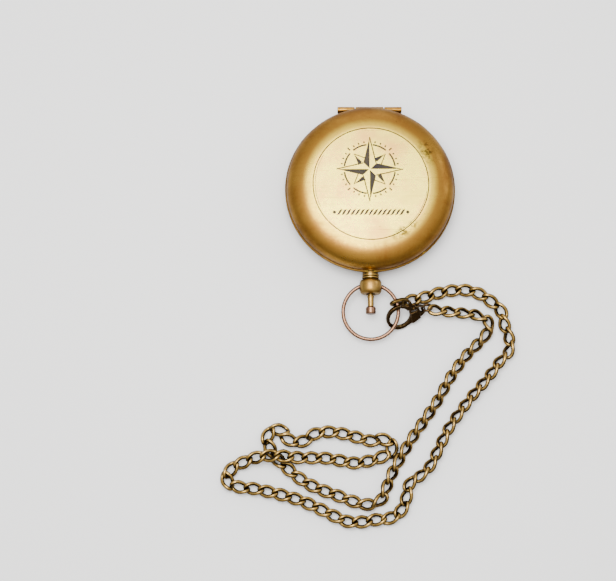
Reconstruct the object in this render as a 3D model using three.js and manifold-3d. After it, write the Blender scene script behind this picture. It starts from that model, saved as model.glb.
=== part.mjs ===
// Pocket compass in a hinged hunter case, with a push-button pendant, a wire bow, a chain and a claw clasp.
// Millimetres, +Z up. The origin is the centre of the flat under the case, which lies on z = 0.
// +Y points to the hinge, -Y to the pendant and the bow.
import * as THREE from "three";
import { mergeVertices } from "three/addons/utils/BufferGeometryUtils.js";
import Module from "manifold-3d";

const wasm = await Module();
wasm.setup();
const deg = THREE.MathUtils.degToRad;

// Clearances
const fitGap = 0.15; // between pieces that stay put
const runGap = 0.3; // around pieces that move

// Case shells
const caseRadius = 25;
const baseHeight = 6.7;
const lidHeight = 6;
const seamGap = 0.3;
const wall = 1;
const bowlCurve = 8.5; // width of the base's rounded edge, around the flat that it lies on
const shoulderWidth = 7.75; // width of the lid's rounded edge, around its flat panel
const grooveWidth = 0.3;
const rimLip = 0.5; // how far the base's rim stands past the lid
const lipHeight = 1;
const lidBand = 1; // upright band of the lid above the seam
const edgeBreak = 0.15;
const shellSides = 48;

// Hinge
const barrelRadius = 0.85;
const barrelLength = 19.4;
const barrelInset = 0.1; // axis behind the lid's edge
const lidKnuckleLength = 8.4;
const hingePinRadius = 0.4;
const leafThickness = 0.7;
const leafHeight = 2.3;
const tongueHeight = 2.4;

// Compass inside the case
const cupInset = 3.9; // room for the hook and the lift spring around the cup
const cupWall = 0.8;
const cupFloor = 0.5;
const cardThickness = 0.3;
const needleLength = 31;
const needleThickness = 0.25;
const needleWaist = 3.2; // half the needle's width at its cap
const needleLift = 1.4; // underside of the needle above the card
const capRadius = 1.35;
const capHeight = 0.9;
const postRadius = 0.45;
const crystalThickness = 0.5;
const chapterWidth = 1.1;

// Pendant and push button
const neckRadius = 2.3;
const neckLength = 2.55;
const seatDepth = 0.6; // the neck is let into the case by this much
const ballRadius = 3.35;
const ballLength = 4.45;
const stemRadius = 0.9;
const stemShow = 3.8; // stem between ball and button
const stemSocket = 1.1; // how far the stem goes into the button
const collarLength = 0.6;
const buttonRadius = 1.5;
const buttonLength = 2.2;
const springWire = 0.26;
const springTurns = 6;

// Lid catch
const hookInset = 1.6; // outer face of the hook's plate in from the case wall
const hookThickness = 0.9;
const hookWidth = 3.6;
const hookDrop = 1.3; // lower edge of the hook's plate below the stem's axis
const noseWidth = 2.4;
const noseDepth = 0.75;
const noseHeight = 0.6;
const strikerWidth = 5;
const strikerHeight = 0.65;

// Lift spring
const leafInset = 2.3; // inner face in from the case wall
const leafStrip = 0.5;
const leafStripHeight = 1.6;
const leafFrom = deg(25);
const leafTo = deg(62);
const fingerWidth = deg(4);
const screwAngle = deg(33);
const screwRadius = 0.45;
const screwHead = 0.9;

// Bow
const bowWire = 1.15;
const bowOuter = 17.5;
const bowDroop = deg(6);

// Chain and clasp
const linkWire = 1.08;
const linkLength = 6.3;
const linkWidth = 4;
const endLinkAngle = deg(20); // where the end link hangs on the bow
const endLinkHeading = deg(15);
const endLinkDip = deg(20);
const endLinkRoll = deg(78);
const endLinkSlack = 0.6; // short of pulled tight against the bow's wire
const chainRadius = 1.5;
const claspAngle = deg(-12); // where the clasp hangs on the bow
const claspHeading = deg(19.5);
const claspDip = deg(3);
const claspRoll = deg(46);
const claspHang = 0.5; // claw centre past the bow's wire
const clawRadius = 4.1;
const clawHole = 3;
const clawThickness = 1.1;
const clawBody = 2.2; // thickness of the part that holds the gate
const clawBodyStart = 3.4;
const tailEnd = 8.2;
const tailHalf = 1.15;
const gateThickness = 0.8;
const gatePivot = new THREE.Vector2(4.6, 1.9);
const gateTipAngle = deg(70);
const gateRootAngle = deg(24);
const gateRoot = 0.95;
const rivetRadius = 0.4;
const eyeRadius = 1.5;
const eyeWire = 0.8;

// Levels and radii that follow from the sizes above
const interiorRadius = caseRadius - wall;
const footRadius = caseRadius - bowlCurve;
const panelRadius = caseRadius - shoulderWidth;
const bowlDepth = baseHeight - lipHeight;
const pendantZ = baseHeight - neckRadius; // the neck's top is level with the rim
const leafZ = bowlDepth - leafStripHeight; // the leaf's strip ends where the wall turns upright
const rimRadius = caseRadius + rimLip;
const lidBottom = baseHeight + seamGap;
const lidTop = lidBottom + lidHeight;
const shoulderBottom = lidBottom + lidBand;
const hinge = new THREE.Vector3(0, caseRadius - barrelInset, baseHeight + seamGap / 2);
const pinBore = hingePinRadius + fitGap;

const cupRadius = interiorRadius - cupInset;
const cupInner = cupRadius - cupWall;
const cupBottom = wall + fitGap;
const cupShoulder = bowlInnerZ(cupRadius + runGap) + runGap;
const ledgeZ = Math.max(cupBottom + cupFloor, cupShoulder) + 0.3;
const cardZ = ledgeZ + 0.1;
const cardTop = cardZ + cardThickness;
const needleZ = cardTop + needleLift;
const capTop = needleZ + capHeight;
const crystalZ = capTop + runGap;
const crystalTop = crystalZ + crystalThickness;
const ringRadius = cupInner - 0.1;
const chapterInner = ringRadius - chapterWidth;

const seatY = -(caseRadius - seatDepth);
const neckStart = seatY - fitGap;
const neckEnd = neckStart - neckLength;
const ballStart = neckEnd - fitGap;
const ballEnd = ballStart - ballLength;
const springBore = stemRadius + 0.75;
const stemBore = stemRadius + 0.25;
const boreEnd = ballEnd + 1.3; // shoulder inside the ball that stops the stem's collar
const buttonStart = ballEnd - stemShow;
const buttonEnd = buttonStart - buttonLength;
const pivot = new THREE.Vector3(0, (ballStart + ballEnd) / 2, pendantZ);
const hookFront = -(interiorRadius - hookInset);
const strikerEdge = hookFront - 0.25;
const strikerTop = lidBottom + 0.2 + strikerHeight;

const bowRadius = (bowOuter - bowWire) / 2;
const bowReach = Math.sqrt(bowRadius ** 2 - ballRadius ** 2); // pivot line to the bow's centre

// Height of the bowl's inner wall at a radius.
function bowlInnerZ(radius) {
  const across = Math.min(1, Math.max(0, (radius - footRadius) / (interiorRadius - footRadius)));
  return bowlDepth - (bowlDepth - wall) * Math.sqrt(1 - across ** 2);
}

// Points of an elliptical arc in a profile; angles in degrees.
function arc(centreR, centreZ, a, b, from, to, steps) {
  return Array.from({ length: steps + 1 }, (_, i) => {
    const t = deg(from + ((to - from) * i) / steps);
    return [centreR + a * Math.cos(t), centreZ + b * Math.sin(t)];
  });
}

// A turned piece: a profile of [radius, height] revolved about +Z, or about +Y with axis "y".
function turned(profile, sides = 24, axis = "z") {
  const onAxis = profile[0][0] === 0 && profile.at(-1)[0] === 0;
  const ring = onAxis ? profile : [...profile, profile[0]];
  let area = 0;
  for (let i = 0; i < profile.length; i++) {
    const [r, z] = profile[i];
    const [nextR, nextZ] = profile[(i + 1) % profile.length];
    area += r * nextZ - nextR * z;
  }
  const points = ring.map(([r, z]) => new THREE.Vector2(r, z));
  if (area < 0) points.reverse();
  const geometry = new THREE.LatheGeometry(points, sides);
  return axis === "z" ? geometry.rotateX(Math.PI / 2) : geometry;
}

// A rod of round section between two heights on its own axis.
function rod(radius, start, end, sides = 16, axis = "z") {
  const low = Math.min(start, end);
  const high = Math.max(start, end);
  return turned([[0, low], [radius, low], [radius, high], [0, high]], sides, axis);
}

function box(x0, x1, y0, y1, z0, z1) {
  const middle = [(x0 + x1) / 2, (y0 + y1) / 2, (z0 + z1) / 2];
  return new THREE.BoxGeometry(x1 - x0, y1 - y0, z1 - z0).translate(...middle);
}

// A closed geometry as a solid that can be cut and joined.
function solid(geometry) {
  const bare = geometry.index ? geometry.toNonIndexed() : geometry.clone();
  for (const name of Object.keys(bare.attributes)) {
    if (name !== "position") bare.deleteAttribute(name);
  }
  const merged = mergeVertices(bare, 1e-4);
  const triangles = [];
  for (let i = 0; i < merged.index.count; i += 3) {
    const [a, b, c] = merged.index.array.slice(i, i + 3);
    if (a !== b && b !== c && c !== a) triangles.push(a, b, c);
  }
  const vertProperties = merged.attributes.position.array;
  return new wasm.Manifold(new wasm.Mesh({ numProp: 3, vertProperties, triVerts: new Uint32Array(triangles) }));
}

function geometryOf(piece) {
  const mesh = piece.getMesh();
  const geometry = new THREE.BufferGeometry();
  geometry.setAttribute("position", new THREE.BufferAttribute(new Float32Array(mesh.vertProperties), 3));
  geometry.setIndex(new THREE.BufferAttribute(new Uint32Array(mesh.triVerts), 1));
  geometry.computeVertexNormals();
  return geometry;
}

const cut = (geometry, ...tools) =>
  geometryOf(tools.reduce((left, tool) => left.subtract(solid(tool)), solid(geometry)));
const join = (...pieces) => geometryOf(pieces.map(solid).reduce((all, piece) => all.add(piece)));
const common = (a, b) => geometryOf(solid(a).intersect(solid(b)));

// A flat plate cut to a shape, with its thickness centred on z = 0 or standing on it.
function plate(shape, thickness, curveSegments = 8, centred = true) {
  const geometry = new THREE.ExtrudeGeometry(shape, { depth: thickness, bevelEnabled: false, curveSegments });
  return centred ? geometry.translate(0, 0, -thickness / 2) : geometry;
}

// A round wire along an open curve.
function wire(curve, radius, sides, steps) {
  const corners = Array.from({ length: sides }, (_, i) => {
    const t = (2 * Math.PI * i) / sides;
    return new THREE.Vector2(radius * Math.cos(t), radius * Math.sin(t));
  });
  const options = { steps, bevelEnabled: false, extrudePath: curve };
  return new THREE.ExtrudeGeometry(new THREE.Shape(corners), options);
}

const group = new THREE.Group();
const brass = { color: 0xb98f43, roughness: 0.32, metalness: 1 };
const paleBrass = { color: 0xd9c48c, roughness: 0.25, metalness: 1 };
const steel = { color: 0x9a9a98, roughness: 0.35, metalness: 1 };
const darkBronze = { color: 0x3a2410, roughness: 0.35, metalness: 1 };

function add(name, geometry, finish, parent = group) {
  const mesh = new THREE.Mesh(geometry, new THREE.MeshStandardMaterial(finish));
  mesh.name = name;
  parent.add(mesh);
}

// ---- Hinge ----

const halfBarrel = barrelLength / 2;
const halfLidKnuckle = lidKnuckleLength / 2;
const knuckleStart = halfLidKnuckle + runGap;
const alongHinge = (radius, from, to) =>
  rod(radius, from, to, 20).rotateY(Math.PI / 2).translate(0, hinge.y, hinge.z);
const channel = (halfLength) => alongHinge(barrelRadius + runGap, -halfLength, halfLength);

// The base's leaf is a curved strip under the rim lip, with a web up to each outer knuckle.
const stripTop = bowlDepth - fitGap;
const stripBottom = stripTop - leafHeight;
const webs = (extra) =>
  [-1, 1].map((side) => {
    const from = side * (knuckleStart - extra);
    const to = side * (halfBarrel + extra);
    const low = Math.min(from, to);
    const high = Math.max(from, to);
    return box(low, high, hinge.y - 0.7 - extra, hinge.y + 0.5 + extra, stripTop - 0.4 - extra, hinge.z - 0.4);
  });

function baseHingeLeaf() {
  const outside = (z, offset) => {
    const rise = (bowlDepth - z) / bowlDepth;
    return footRadius + (caseRadius - footRadius) * Math.sqrt(1 - rise ** 2) + offset;
  };
  const levels = [0, 1, 2, 3].map((i) => stripBottom + (leafHeight * i) / 3);
  const inner = levels.map((z) => [outside(z, fitGap), z]);
  const outer = levels.map((z) => [outside(z, fitGap + leafThickness), z]).reverse();
  const band = turned([...inner, ...outer], shellSides);
  const strip = common(band, box(-halfBarrel, halfBarrel, 0, 2 * caseRadius, 0, baseHeight));
  const right = alongHinge(barrelRadius, knuckleStart, halfBarrel);
  const left = alongHinge(barrelRadius, -halfBarrel, -knuckleStart);
  return cut(join(strip, ...webs(0), right, left), alongHinge(pinBore, -barrelLength, barrelLength));
}

// The lid's leaf is the middle knuckle, with a tongue let into the lid's rim.
const tongueTop = hinge.z + tongueHeight;
const tongueHalf = halfLidKnuckle - 0.2;
const tongueBack = caseRadius - wall + 0.1;
const tongueBottom = hinge.z + 0.45;
const tongueSlot = (extra) =>
  box(-tongueHalf - extra, tongueHalf + extra, tongueBack - extra, rimRadius + 1, tongueBottom,
    tongueTop + extra);
const shoulderSize = [caseRadius - panelRadius, lidTop - shoulderBottom];
const lidShoulder = arc(panelRadius, shoulderBottom, ...shoulderSize, 0, 90, 8);

function lidHingeLeaf() {
  const skin = turned([
    [0, lidBottom - 1],
    [caseRadius, lidBottom - 1],
    ...lidShoulder,
    [0, lidTop],
  ], shellSides);
  const tongue = common(tongueSlot(0), skin);
  const knuckle = alongHinge(barrelRadius, -halfLidKnuckle, halfLidKnuckle);
  return cut(join(tongue, knuckle), alongHinge(pinBore, -barrelLength, barrelLength));
}

// ---- Case shells ----

function caseBase() {
  const shell = turned([
    [0, 0],
    ...arc(footRadius, bowlDepth, caseRadius - footRadius, bowlDepth, -90, 0, 7),
    [rimRadius, bowlDepth + 0.2],
    [rimRadius, baseHeight - edgeBreak],
    [rimRadius - edgeBreak, baseHeight],
    [interiorRadius, baseHeight],
    ...arc(footRadius, bowlDepth, interiorRadius - footRadius, bowlDepth - wall, 0, -90, 7),
    [0, wall],
  ], shellSides);
  const seat = rod(neckRadius + fitGap, seatY, seatY - 10, 24, "y").translate(0, 0, pendantZ);
  const stemHole = rod(stemBore, -caseRadius - 5, -cupRadius, 16, "y").translate(0, 0, pendantZ);
  return cut(shell, seat, stemHole, channel(halfBarrel + runGap), ...webs(fitGap));
}

function caseLid() {
  const inside = [interiorRadius - panelRadius, lidTop - shoulderBottom - wall];
  const shell = turned([
    [interiorRadius, lidBottom],
    [caseRadius - edgeBreak, lidBottom],
    [caseRadius, lidBottom + edgeBreak],
    ...lidShoulder,
    [panelRadius - grooveWidth / 2, lidTop - grooveWidth / 2],
    [panelRadius - grooveWidth, lidTop],
    [0, lidTop],
    [0, lidTop - wall],
    ...arc(panelRadius, shoulderBottom, ...inside, 90, 0, 7),
  ], shellSides);
  return cut(shell, channel(halfBarrel + runGap), tongueSlot(fitGap));
}

add("case_base", caseBase(), brass);
add("case_lid", caseLid(), brass);
add("base_hinge_leaf", baseHingeLeaf(), brass);
add("lid_hinge_leaf", lidHingeLeaf(), brass);
add("hinge_pin", alongHinge(hingePinRadius, -halfBarrel, halfBarrel), steel);

// ---- Lid catch ----

function catchHook() {
  const back = hookFront + hookThickness;
  const noseBottom = strikerTop + fitGap;
  const top = noseBottom + noseHeight;
  const body = box(-hookWidth / 2, hookWidth / 2, hookFront, back, pendantZ - hookDrop, top);
  const nose = box(-noseWidth / 2, noseWidth / 2, hookFront - noseDepth, hookFront + 0.2, noseBottom, top);
  const hole = rod(stemRadius + 0.1, hookFront - 1, back + 1, 16, "y").translate(0, 0, pendantZ);
  return cut(join(body, nose), hole);
}

function lidStriker() {
  const outerY = -Math.sqrt(interiorRadius ** 2 - (strikerWidth / 2) ** 2) + fitGap;
  return box(-strikerWidth / 2, strikerWidth / 2, outerY, strikerEdge, strikerTop - strikerHeight, strikerTop);
}

add("catch_hook", catchHook(), steel);
add("lid_striker", lidStriker(), brass);

// ---- Lift spring: a curved leaf along the wall that pushes the lid up when the hook lets go ----

const leafRadius = interiorRadius - leafInset;

function ringSector(radius, thickness, from, to) {
  const shape = new THREE.Shape();
  shape.absarc(0, 0, radius + thickness, from, to, false);
  shape.absarc(0, 0, radius, to, from, true);
  shape.closePath();
  return shape;
}

function liftSpring() {
  const strip = plate(ringSector(leafRadius, leafStrip, leafFrom, leafTo), leafStripHeight, 12);
  const end = ringSector(leafRadius, leafStrip, leafTo - fingerWidth, leafTo);
  const finger = plate(end, baseHeight - leafZ, 4, false);
  const hole = rod(screwRadius + 0.1, leafRadius - 1, leafRadius + 2, 12)
    .rotateY(Math.PI / 2).rotateZ(screwAngle);
  return cut(join(strip, finger), hole).translate(0, 0, leafZ);
}

function liftSpringScrew() {
  const tip = bowlRadiusAt(leafZ) - runGap - fitGap;
  return turned([
    [0, leafRadius - 0.65],
    [screwHead, leafRadius - 0.65],
    [screwHead, leafRadius - fitGap],
    [screwRadius, leafRadius - fitGap],
    [screwRadius, tip],
    [0, tip],
  ], 12).rotateY(Math.PI / 2).rotateZ(screwAngle).translate(0, 0, leafZ);
}

// Radius of the bowl's inner wall at a height.
function bowlRadiusAt(z) {
  const rise = (bowlDepth - z) / (bowlDepth - wall);
  return footRadius + (interiorRadius - footRadius) * Math.sqrt(1 - rise ** 2);
}

add("lift_spring", liftSpring(), steel);
add("lift_spring_screw", liftSpringScrew(), steel);

// ---- Compass ----

const cupFoot = footRadius + 0.5;
const ledgeInner = ringRadius - 1.3;
add("compass_cup", turned([
  [0, cupBottom],
  [cupFoot, cupBottom],
  [cupRadius, cupShoulder],
  [cupRadius, crystalTop],
  [cupInner, crystalTop],
  [cupInner, ledgeZ],
  [ledgeInner, ledgeZ],
  [ledgeInner - 0.8, cupBottom + cupFloor],
  [0, cupBottom + cupFloor],
], shellSides), brass);

const cardHole = postRadius + 0.35;
add("dial_card", turned([[cardHole, cardZ], [ringRadius, cardZ], [ringRadius, cardTop], [cardHole, cardTop]],
  shellSides), { color: 0xf1ead8, roughness: 0.85, metalness: 0 });

const postFoot = cupBottom + cupFloor + 0.1;
const postTip = capTop - 0.35;
add("pivot_post", turned([
  [0, postFoot],
  [1.6, postFoot],
  [1.6, cardZ - 0.1],
  [postRadius, cardZ - 0.1],
  [postRadius, needleZ - 0.1],
  [0, postTip],
], 16), steel);

add("chapter_ring", turned([
  [chapterInner, cardTop + 0.1],
  [ringRadius, cardTop + 0.1],
  [ringRadius, crystalZ - 0.1],
  [chapterInner, crystalZ - 0.1],
], shellSides), paleBrass);

add("crystal", rod(ringRadius, crystalZ, crystalTop, shellSides),
  { color: 0xe9f2f2, roughness: 0.04, metalness: 0, transparent: true, opacity: 0.3 });

const bezelBottom = crystalTop + 0.1;
const bezelTop = bezelBottom + 0.5;
add("bezel_ring", turned([
  [chapterInner, bezelBottom],
  [cupRadius, bezelBottom],
  [cupRadius, bezelTop - 0.2],
  [cupRadius - 0.2, bezelTop],
  [chapterInner + 0.4, bezelTop],
], shellSides), paleBrass);

function needleBlade() {
  const half = needleLength / 2;
  const shape = new THREE.Shape();
  shape.moveTo(0, half);
  shape.lineTo(-needleWaist, 0);
  shape.lineTo(0, -half);
  shape.lineTo(needleWaist, 0);
  shape.closePath();
  const hole = new THREE.Path();
  hole.absarc(0, 0, capRadius - 0.35, 0, 2 * Math.PI, true);
  shape.holes.push(hole);
  return plate(shape, needleThickness, 8, false).translate(0, 0, needleZ);
}
add("needle", needleBlade(), { color: 0x2b3a66, roughness: 0.3, metalness: 0.6 });

// The cap's head sits on the blade and its spigot fills the blade's hole; the post's point stands in its cone.
const spigot = capRadius - 0.45;
add("needle_cap", turned([
  [0, postTip + 0.12],
  [postRadius + 0.2, needleZ - 0.1],
  [spigot, needleZ - 0.1],
  [spigot, needleZ + needleThickness + 0.05],
  [capRadius, needleZ + needleThickness + 0.05],
  [capRadius, capTop - 0.2],
  [capRadius - 0.4, capTop],
  [0, capTop],
], 16), brass);

// ---- Pendant and push button: turned about an axis along Y at the pendant's height ----

const onPendant = (geometry) => geometry.translate(0, 0, pendantZ);
const ridge = neckRadius + 0.15;

add("pendant_neck", onPendant(turned([
  [springBore, neckStart],
  [neckRadius, neckStart],
  [neckRadius, neckEnd + 1.1],
  [ridge, neckEnd + 0.9],
  [neckRadius, neckEnd + 0.7],
  [neckRadius, neckEnd + 0.5],
  [ridge, neckEnd + 0.25],
  [neckRadius, neckEnd],
  [springBore, neckEnd],
], 24, "y")), paleBrass);

function pendantBall() {
  const ball = turned([
    [springBore, ballStart],
    [neckRadius, ballStart],
    [ballRadius - 0.45, ballStart - 0.4],
    [ballRadius, ballStart - 1.2],
    [ballRadius, ballEnd + 1.6],
    [ballRadius - 0.3, ballEnd + 0.7],
    [ballRadius - 1, ballEnd],
    [stemBore, ballEnd],
    [stemBore, boreEnd],
    [springBore, boreEnd],
  ], 24, "y");
  const pinHole = rod(bowWire / 2 + 0.25, -ballRadius - 1, ballRadius + 1, 12).rotateY(Math.PI / 2)
    .translate(0, pivot.y, 0);
  return onPendant(cut(ball, pinHole));
}
add("pendant_ball", pendantBall(), paleBrass);

const collarRadius = springBore - 0.2;
const collarFront = boreEnd + 0.1;
const collarBack = collarFront + collarLength;
const stemInner = hookFront + hookThickness - 0.1;
add("plunger_stem", onPendant(turned([
  [0, stemInner],
  [stemRadius, stemInner],
  [stemRadius, collarBack],
  [collarRadius, collarBack],
  [collarRadius, collarFront],
  [stemRadius, collarFront],
  [stemRadius, buttonStart - stemSocket],
  [0, buttonStart - stemSocket],
], 20, "y")), paleBrass);

add("plunger_button", onPendant(turned([
  [stemRadius + 0.1, buttonStart],
  [buttonRadius - 0.2, buttonStart],
  [buttonRadius, buttonStart - 0.3],
  [buttonRadius, buttonEnd + 0.3],
  [buttonRadius - 0.2, buttonEnd],
  [0, buttonEnd],
  [0, buttonStart - stemSocket - 0.1],
  [stemRadius + 0.1, buttonStart - stemSocket - 0.1],
], 24, "y")), paleBrass);

class Coil extends THREE.Curve {
  constructor(radius, turns, start, end) {
    super();
    Object.assign(this, { radius, turns, start, end });
  }
  getPoint(t, target = new THREE.Vector3()) {
    const angle = 2 * Math.PI * this.turns * t;
    const y = THREE.MathUtils.lerp(this.start, this.end, t);
    return target.set(this.radius * Math.cos(angle), y, this.radius * Math.sin(angle));
  }
}
const coilRadius = (springBore + stemRadius) / 2;
const coilStart = neckStart - springWire;
const coilEnd = collarBack + 0.1 + springWire;
const coil = new Coil(coilRadius, springTurns, coilStart, coilEnd);
add("plunger_spring", onPendant(wire(coil, springWire / 2, 6, springTurns * 10)), steel);

// ---- Bow: its own frame has the pivot line as X and the ring reaching along -Y ----

const bow = new THREE.Group();
bow.position.copy(pivot);
bow.rotation.x = bowDroop;
group.add(bow);

function bowRing() {
  const pinInner = springBore + 0.3;
  const open = Math.asin(ballRadius / bowRadius);
  const steps = 36;
  const points = [new THREE.Vector3(pinInner, 0, 0)];
  for (let i = 0; i <= steps; i++) {
    const t = open + ((2 * Math.PI - 2 * open) * i) / steps;
    points.push(new THREE.Vector3(bowRadius * Math.sin(t), -bowReach + bowRadius * Math.cos(t), 0));
  }
  points.push(new THREE.Vector3(-pinInner, 0, 0));
  return wire(new THREE.CatmullRomCurve3(points), bowWire / 2, 10, 48);
}
add("bow", bowRing(), { color: 0xe2cdb0, roughness: 0.2, metalness: 1 }, bow);

// A point of the bow's centre line, by its angle from +X about the ring's centre, in the part's frame.
function onBow(angle) {
  bow.updateMatrixWorld();
  return new THREE.Vector3(bowRadius * Math.cos(angle), -bowReach + bowRadius * Math.sin(angle), 0)
    .applyMatrix4(bow.matrixWorld);
}

// The frame of a piece hung on the bow: its first axis has a heading from +X and a dip below level, the roll
// turns it about that axis, and its origin lies past the bow's wire along it.
function hungFrame(angle, past, heading, dip, roll) {
  const level = Math.cos(dip);
  const u = new THREE.Vector3(Math.cos(heading) * level, Math.sin(heading) * level, -Math.sin(dip));
  const side = new THREE.Vector3(-Math.sin(heading), Math.cos(heading), 0);
  const up = new THREE.Vector3().crossVectors(u, side);
  const v = side.multiplyScalar(Math.cos(roll)).addScaledVector(up, Math.sin(roll));
  const w = new THREE.Vector3().crossVectors(u, v);
  const origin = onBow(angle).addScaledVector(u, past);
  const frame = new THREE.Group();
  frame.applyMatrix4(new THREE.Matrix4().makeBasis(u, v, w).setPosition(origin));
  group.add(frame);
  return frame;
}

// ---- Chain end link, hung on the bow's right side ----

class Oval extends THREE.Curve {
  constructor(a, b) {
    super();
    Object.assign(this, { a, b });
  }
  getPoint(t, target = new THREE.Vector3()) {
    const angle = 2 * Math.PI * t;
    return target.set(this.a * Math.cos(angle), this.b * Math.sin(angle), 0);
  }
}

const linkA = (linkLength - linkWire) / 2;
const linkB = (linkWidth - linkWire) / 2;
const linkSeat = linkA - (linkWire + bowWire) / 2 - endLinkSlack; // link centre past the bow's wire
const endFrame = hungFrame(endLinkAngle, linkSeat, endLinkHeading, endLinkDip, endLinkRoll);
const endLink = new THREE.TubeGeometry(new Oval(linkA, linkB), 28, linkWire / 2, 8, true);
add("chain_end_link", endLink, brass, endFrame);

// ---- Clasp: u runs from the claw to the eye, v across it, w through its thickness ----

const clasp = hungFrame(claspAngle, claspHang, claspHeading, claspDip, claspRoll);
const eyeHoleU = tailEnd - 0.9;

function claspOutline(grow) {
  const radius = clawRadius + grow;
  const leave = deg(58);
  const from = new THREE.Vector2(radius * Math.cos(leave), radius * Math.sin(leave));
  const shape = new THREE.Shape();
  shape.moveTo(tailEnd - 0.4, -tailHalf);
  shape.lineTo(tailEnd, -tailHalf + 0.5);
  shape.lineTo(tailEnd, tailHalf - 0.5);
  shape.lineTo(tailEnd - 0.4, tailHalf);
  shape.quadraticCurveTo(5.2, 2.9 + grow, from.x, from.y);
  shape.absarc(0, 0, radius, leave, 2 * Math.PI - leave, false);
  shape.quadraticCurveTo(5.2, -2.9 - grow, tailEnd - 0.4, -tailHalf);
  return shape;
}

// Sector of a ring around the claw's centre, for the mouth that the gate closes.
const mouth = (from, to, inner, outer) => ringSector(inner, outer - inner, from, to);

function claspBody() {
  const flat = claspOutline(0);
  const hole = new THREE.Path();
  hole.absellipse(0.1, 0, clawHole + 0.2, clawHole, 0, 2 * Math.PI, true);
  flat.holes.push(hole);
  const claw = plate(flat, clawThickness, 10);
  const thick = plate(claspOutline(-0.05), clawBody, 10);
  const housing = common(thick, box(clawBodyStart, tailEnd - 2, -5, 5, -2, 2));
  const tools = [
    plate(mouth(gateRootAngle - deg(16), gateTipAngle + deg(4), clawHole - 0.6, clawRadius + 1.5), 3, 8),
    plate(gateSlot(), gateThickness + 2 * fitGap, 10),
    rod(rivetRadius + 0.1, -2, 2, 12).translate(gatePivot.x, gatePivot.y, 0),
    rod(eyeWire / 2 + 0.35, -2, 2, 16).translate(eyeHoleU, 0, 0),
  ];
  return cut(join(claw, cut(housing, rod(clawHole + 0.25, -2, 2, 24))), ...tools);
}

// Slot in the body for the gate's root, its swing and its spring.
function gateSlot() {
  const shape = new THREE.Shape();
  shape.moveTo(2.2, 0.4);
  shape.lineTo(5.4, 0.1);
  shape.lineTo(7.1, 0.3);
  shape.lineTo(7.1, 1.15);
  shape.lineTo(6.1, 1.5);
  shape.lineTo(6.1, 5);
  shape.lineTo(1.6, 5);
  shape.closePath();
  return shape;
}

function claspGate() {
  const arm = plate(mouth(gateRootAngle, gateTipAngle, clawHole + 0.1, clawRadius - 0.1), gateThickness, 8);
  const root = rod(gateRoot, -gateThickness / 2, gateThickness / 2, 16).translate(gatePivot.x, gatePivot.y, 0);
  const shape = new THREE.Shape();
  shape.moveTo(3.0, 1.5);
  shape.lineTo(4.4, 1.0);
  shape.lineTo(5.3, 2.4);
  shape.lineTo(4.6, 3.1);
  shape.lineTo(4.3, 4.3);
  shape.lineTo(3.7, 4.3);
  shape.lineTo(3.4, 3.0);
  shape.lineTo(2.6, 2.9);
  shape.closePath();
  const heel = plate(shape, gateThickness);
  return cut(join(arm, root, heel), rod(rivetRadius + 0.1, -1, 1, 12).translate(gatePivot.x, gatePivot.y, 0));
}

add("clasp_body", claspBody(), darkBronze, clasp);
add("clasp_gate", claspGate(), darkBronze, clasp);
add("clasp_rivet", rod(rivetRadius, -clawBody / 2 - 0.1, clawBody / 2 + 0.1, 12)
  .translate(gatePivot.x, gatePivot.y, 0), darkBronze, clasp);
add("clasp_spring", wire(new THREE.CatmullRomCurve3([
  new THREE.Vector3(6.9, 0.72, 0),
  new THREE.Vector3(5.9, 0.62, 0),
  new THREE.Vector3(4.9, 0.45, 0),
  new THREE.Vector3(3.9, 0.62, 0),
]), 0.13, 6, 8), steel, clasp);
add("clasp_eye", new THREE.TorusGeometry(eyeRadius, eyeWire / 2, 8, 24).rotateX(Math.PI / 2)
  .translate(eyeHoleU + eyeRadius, 0, 0), darkBronze, clasp);

// ---- Chain: lies loose, from the end link on the bow round to the clasp's eye ----

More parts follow.
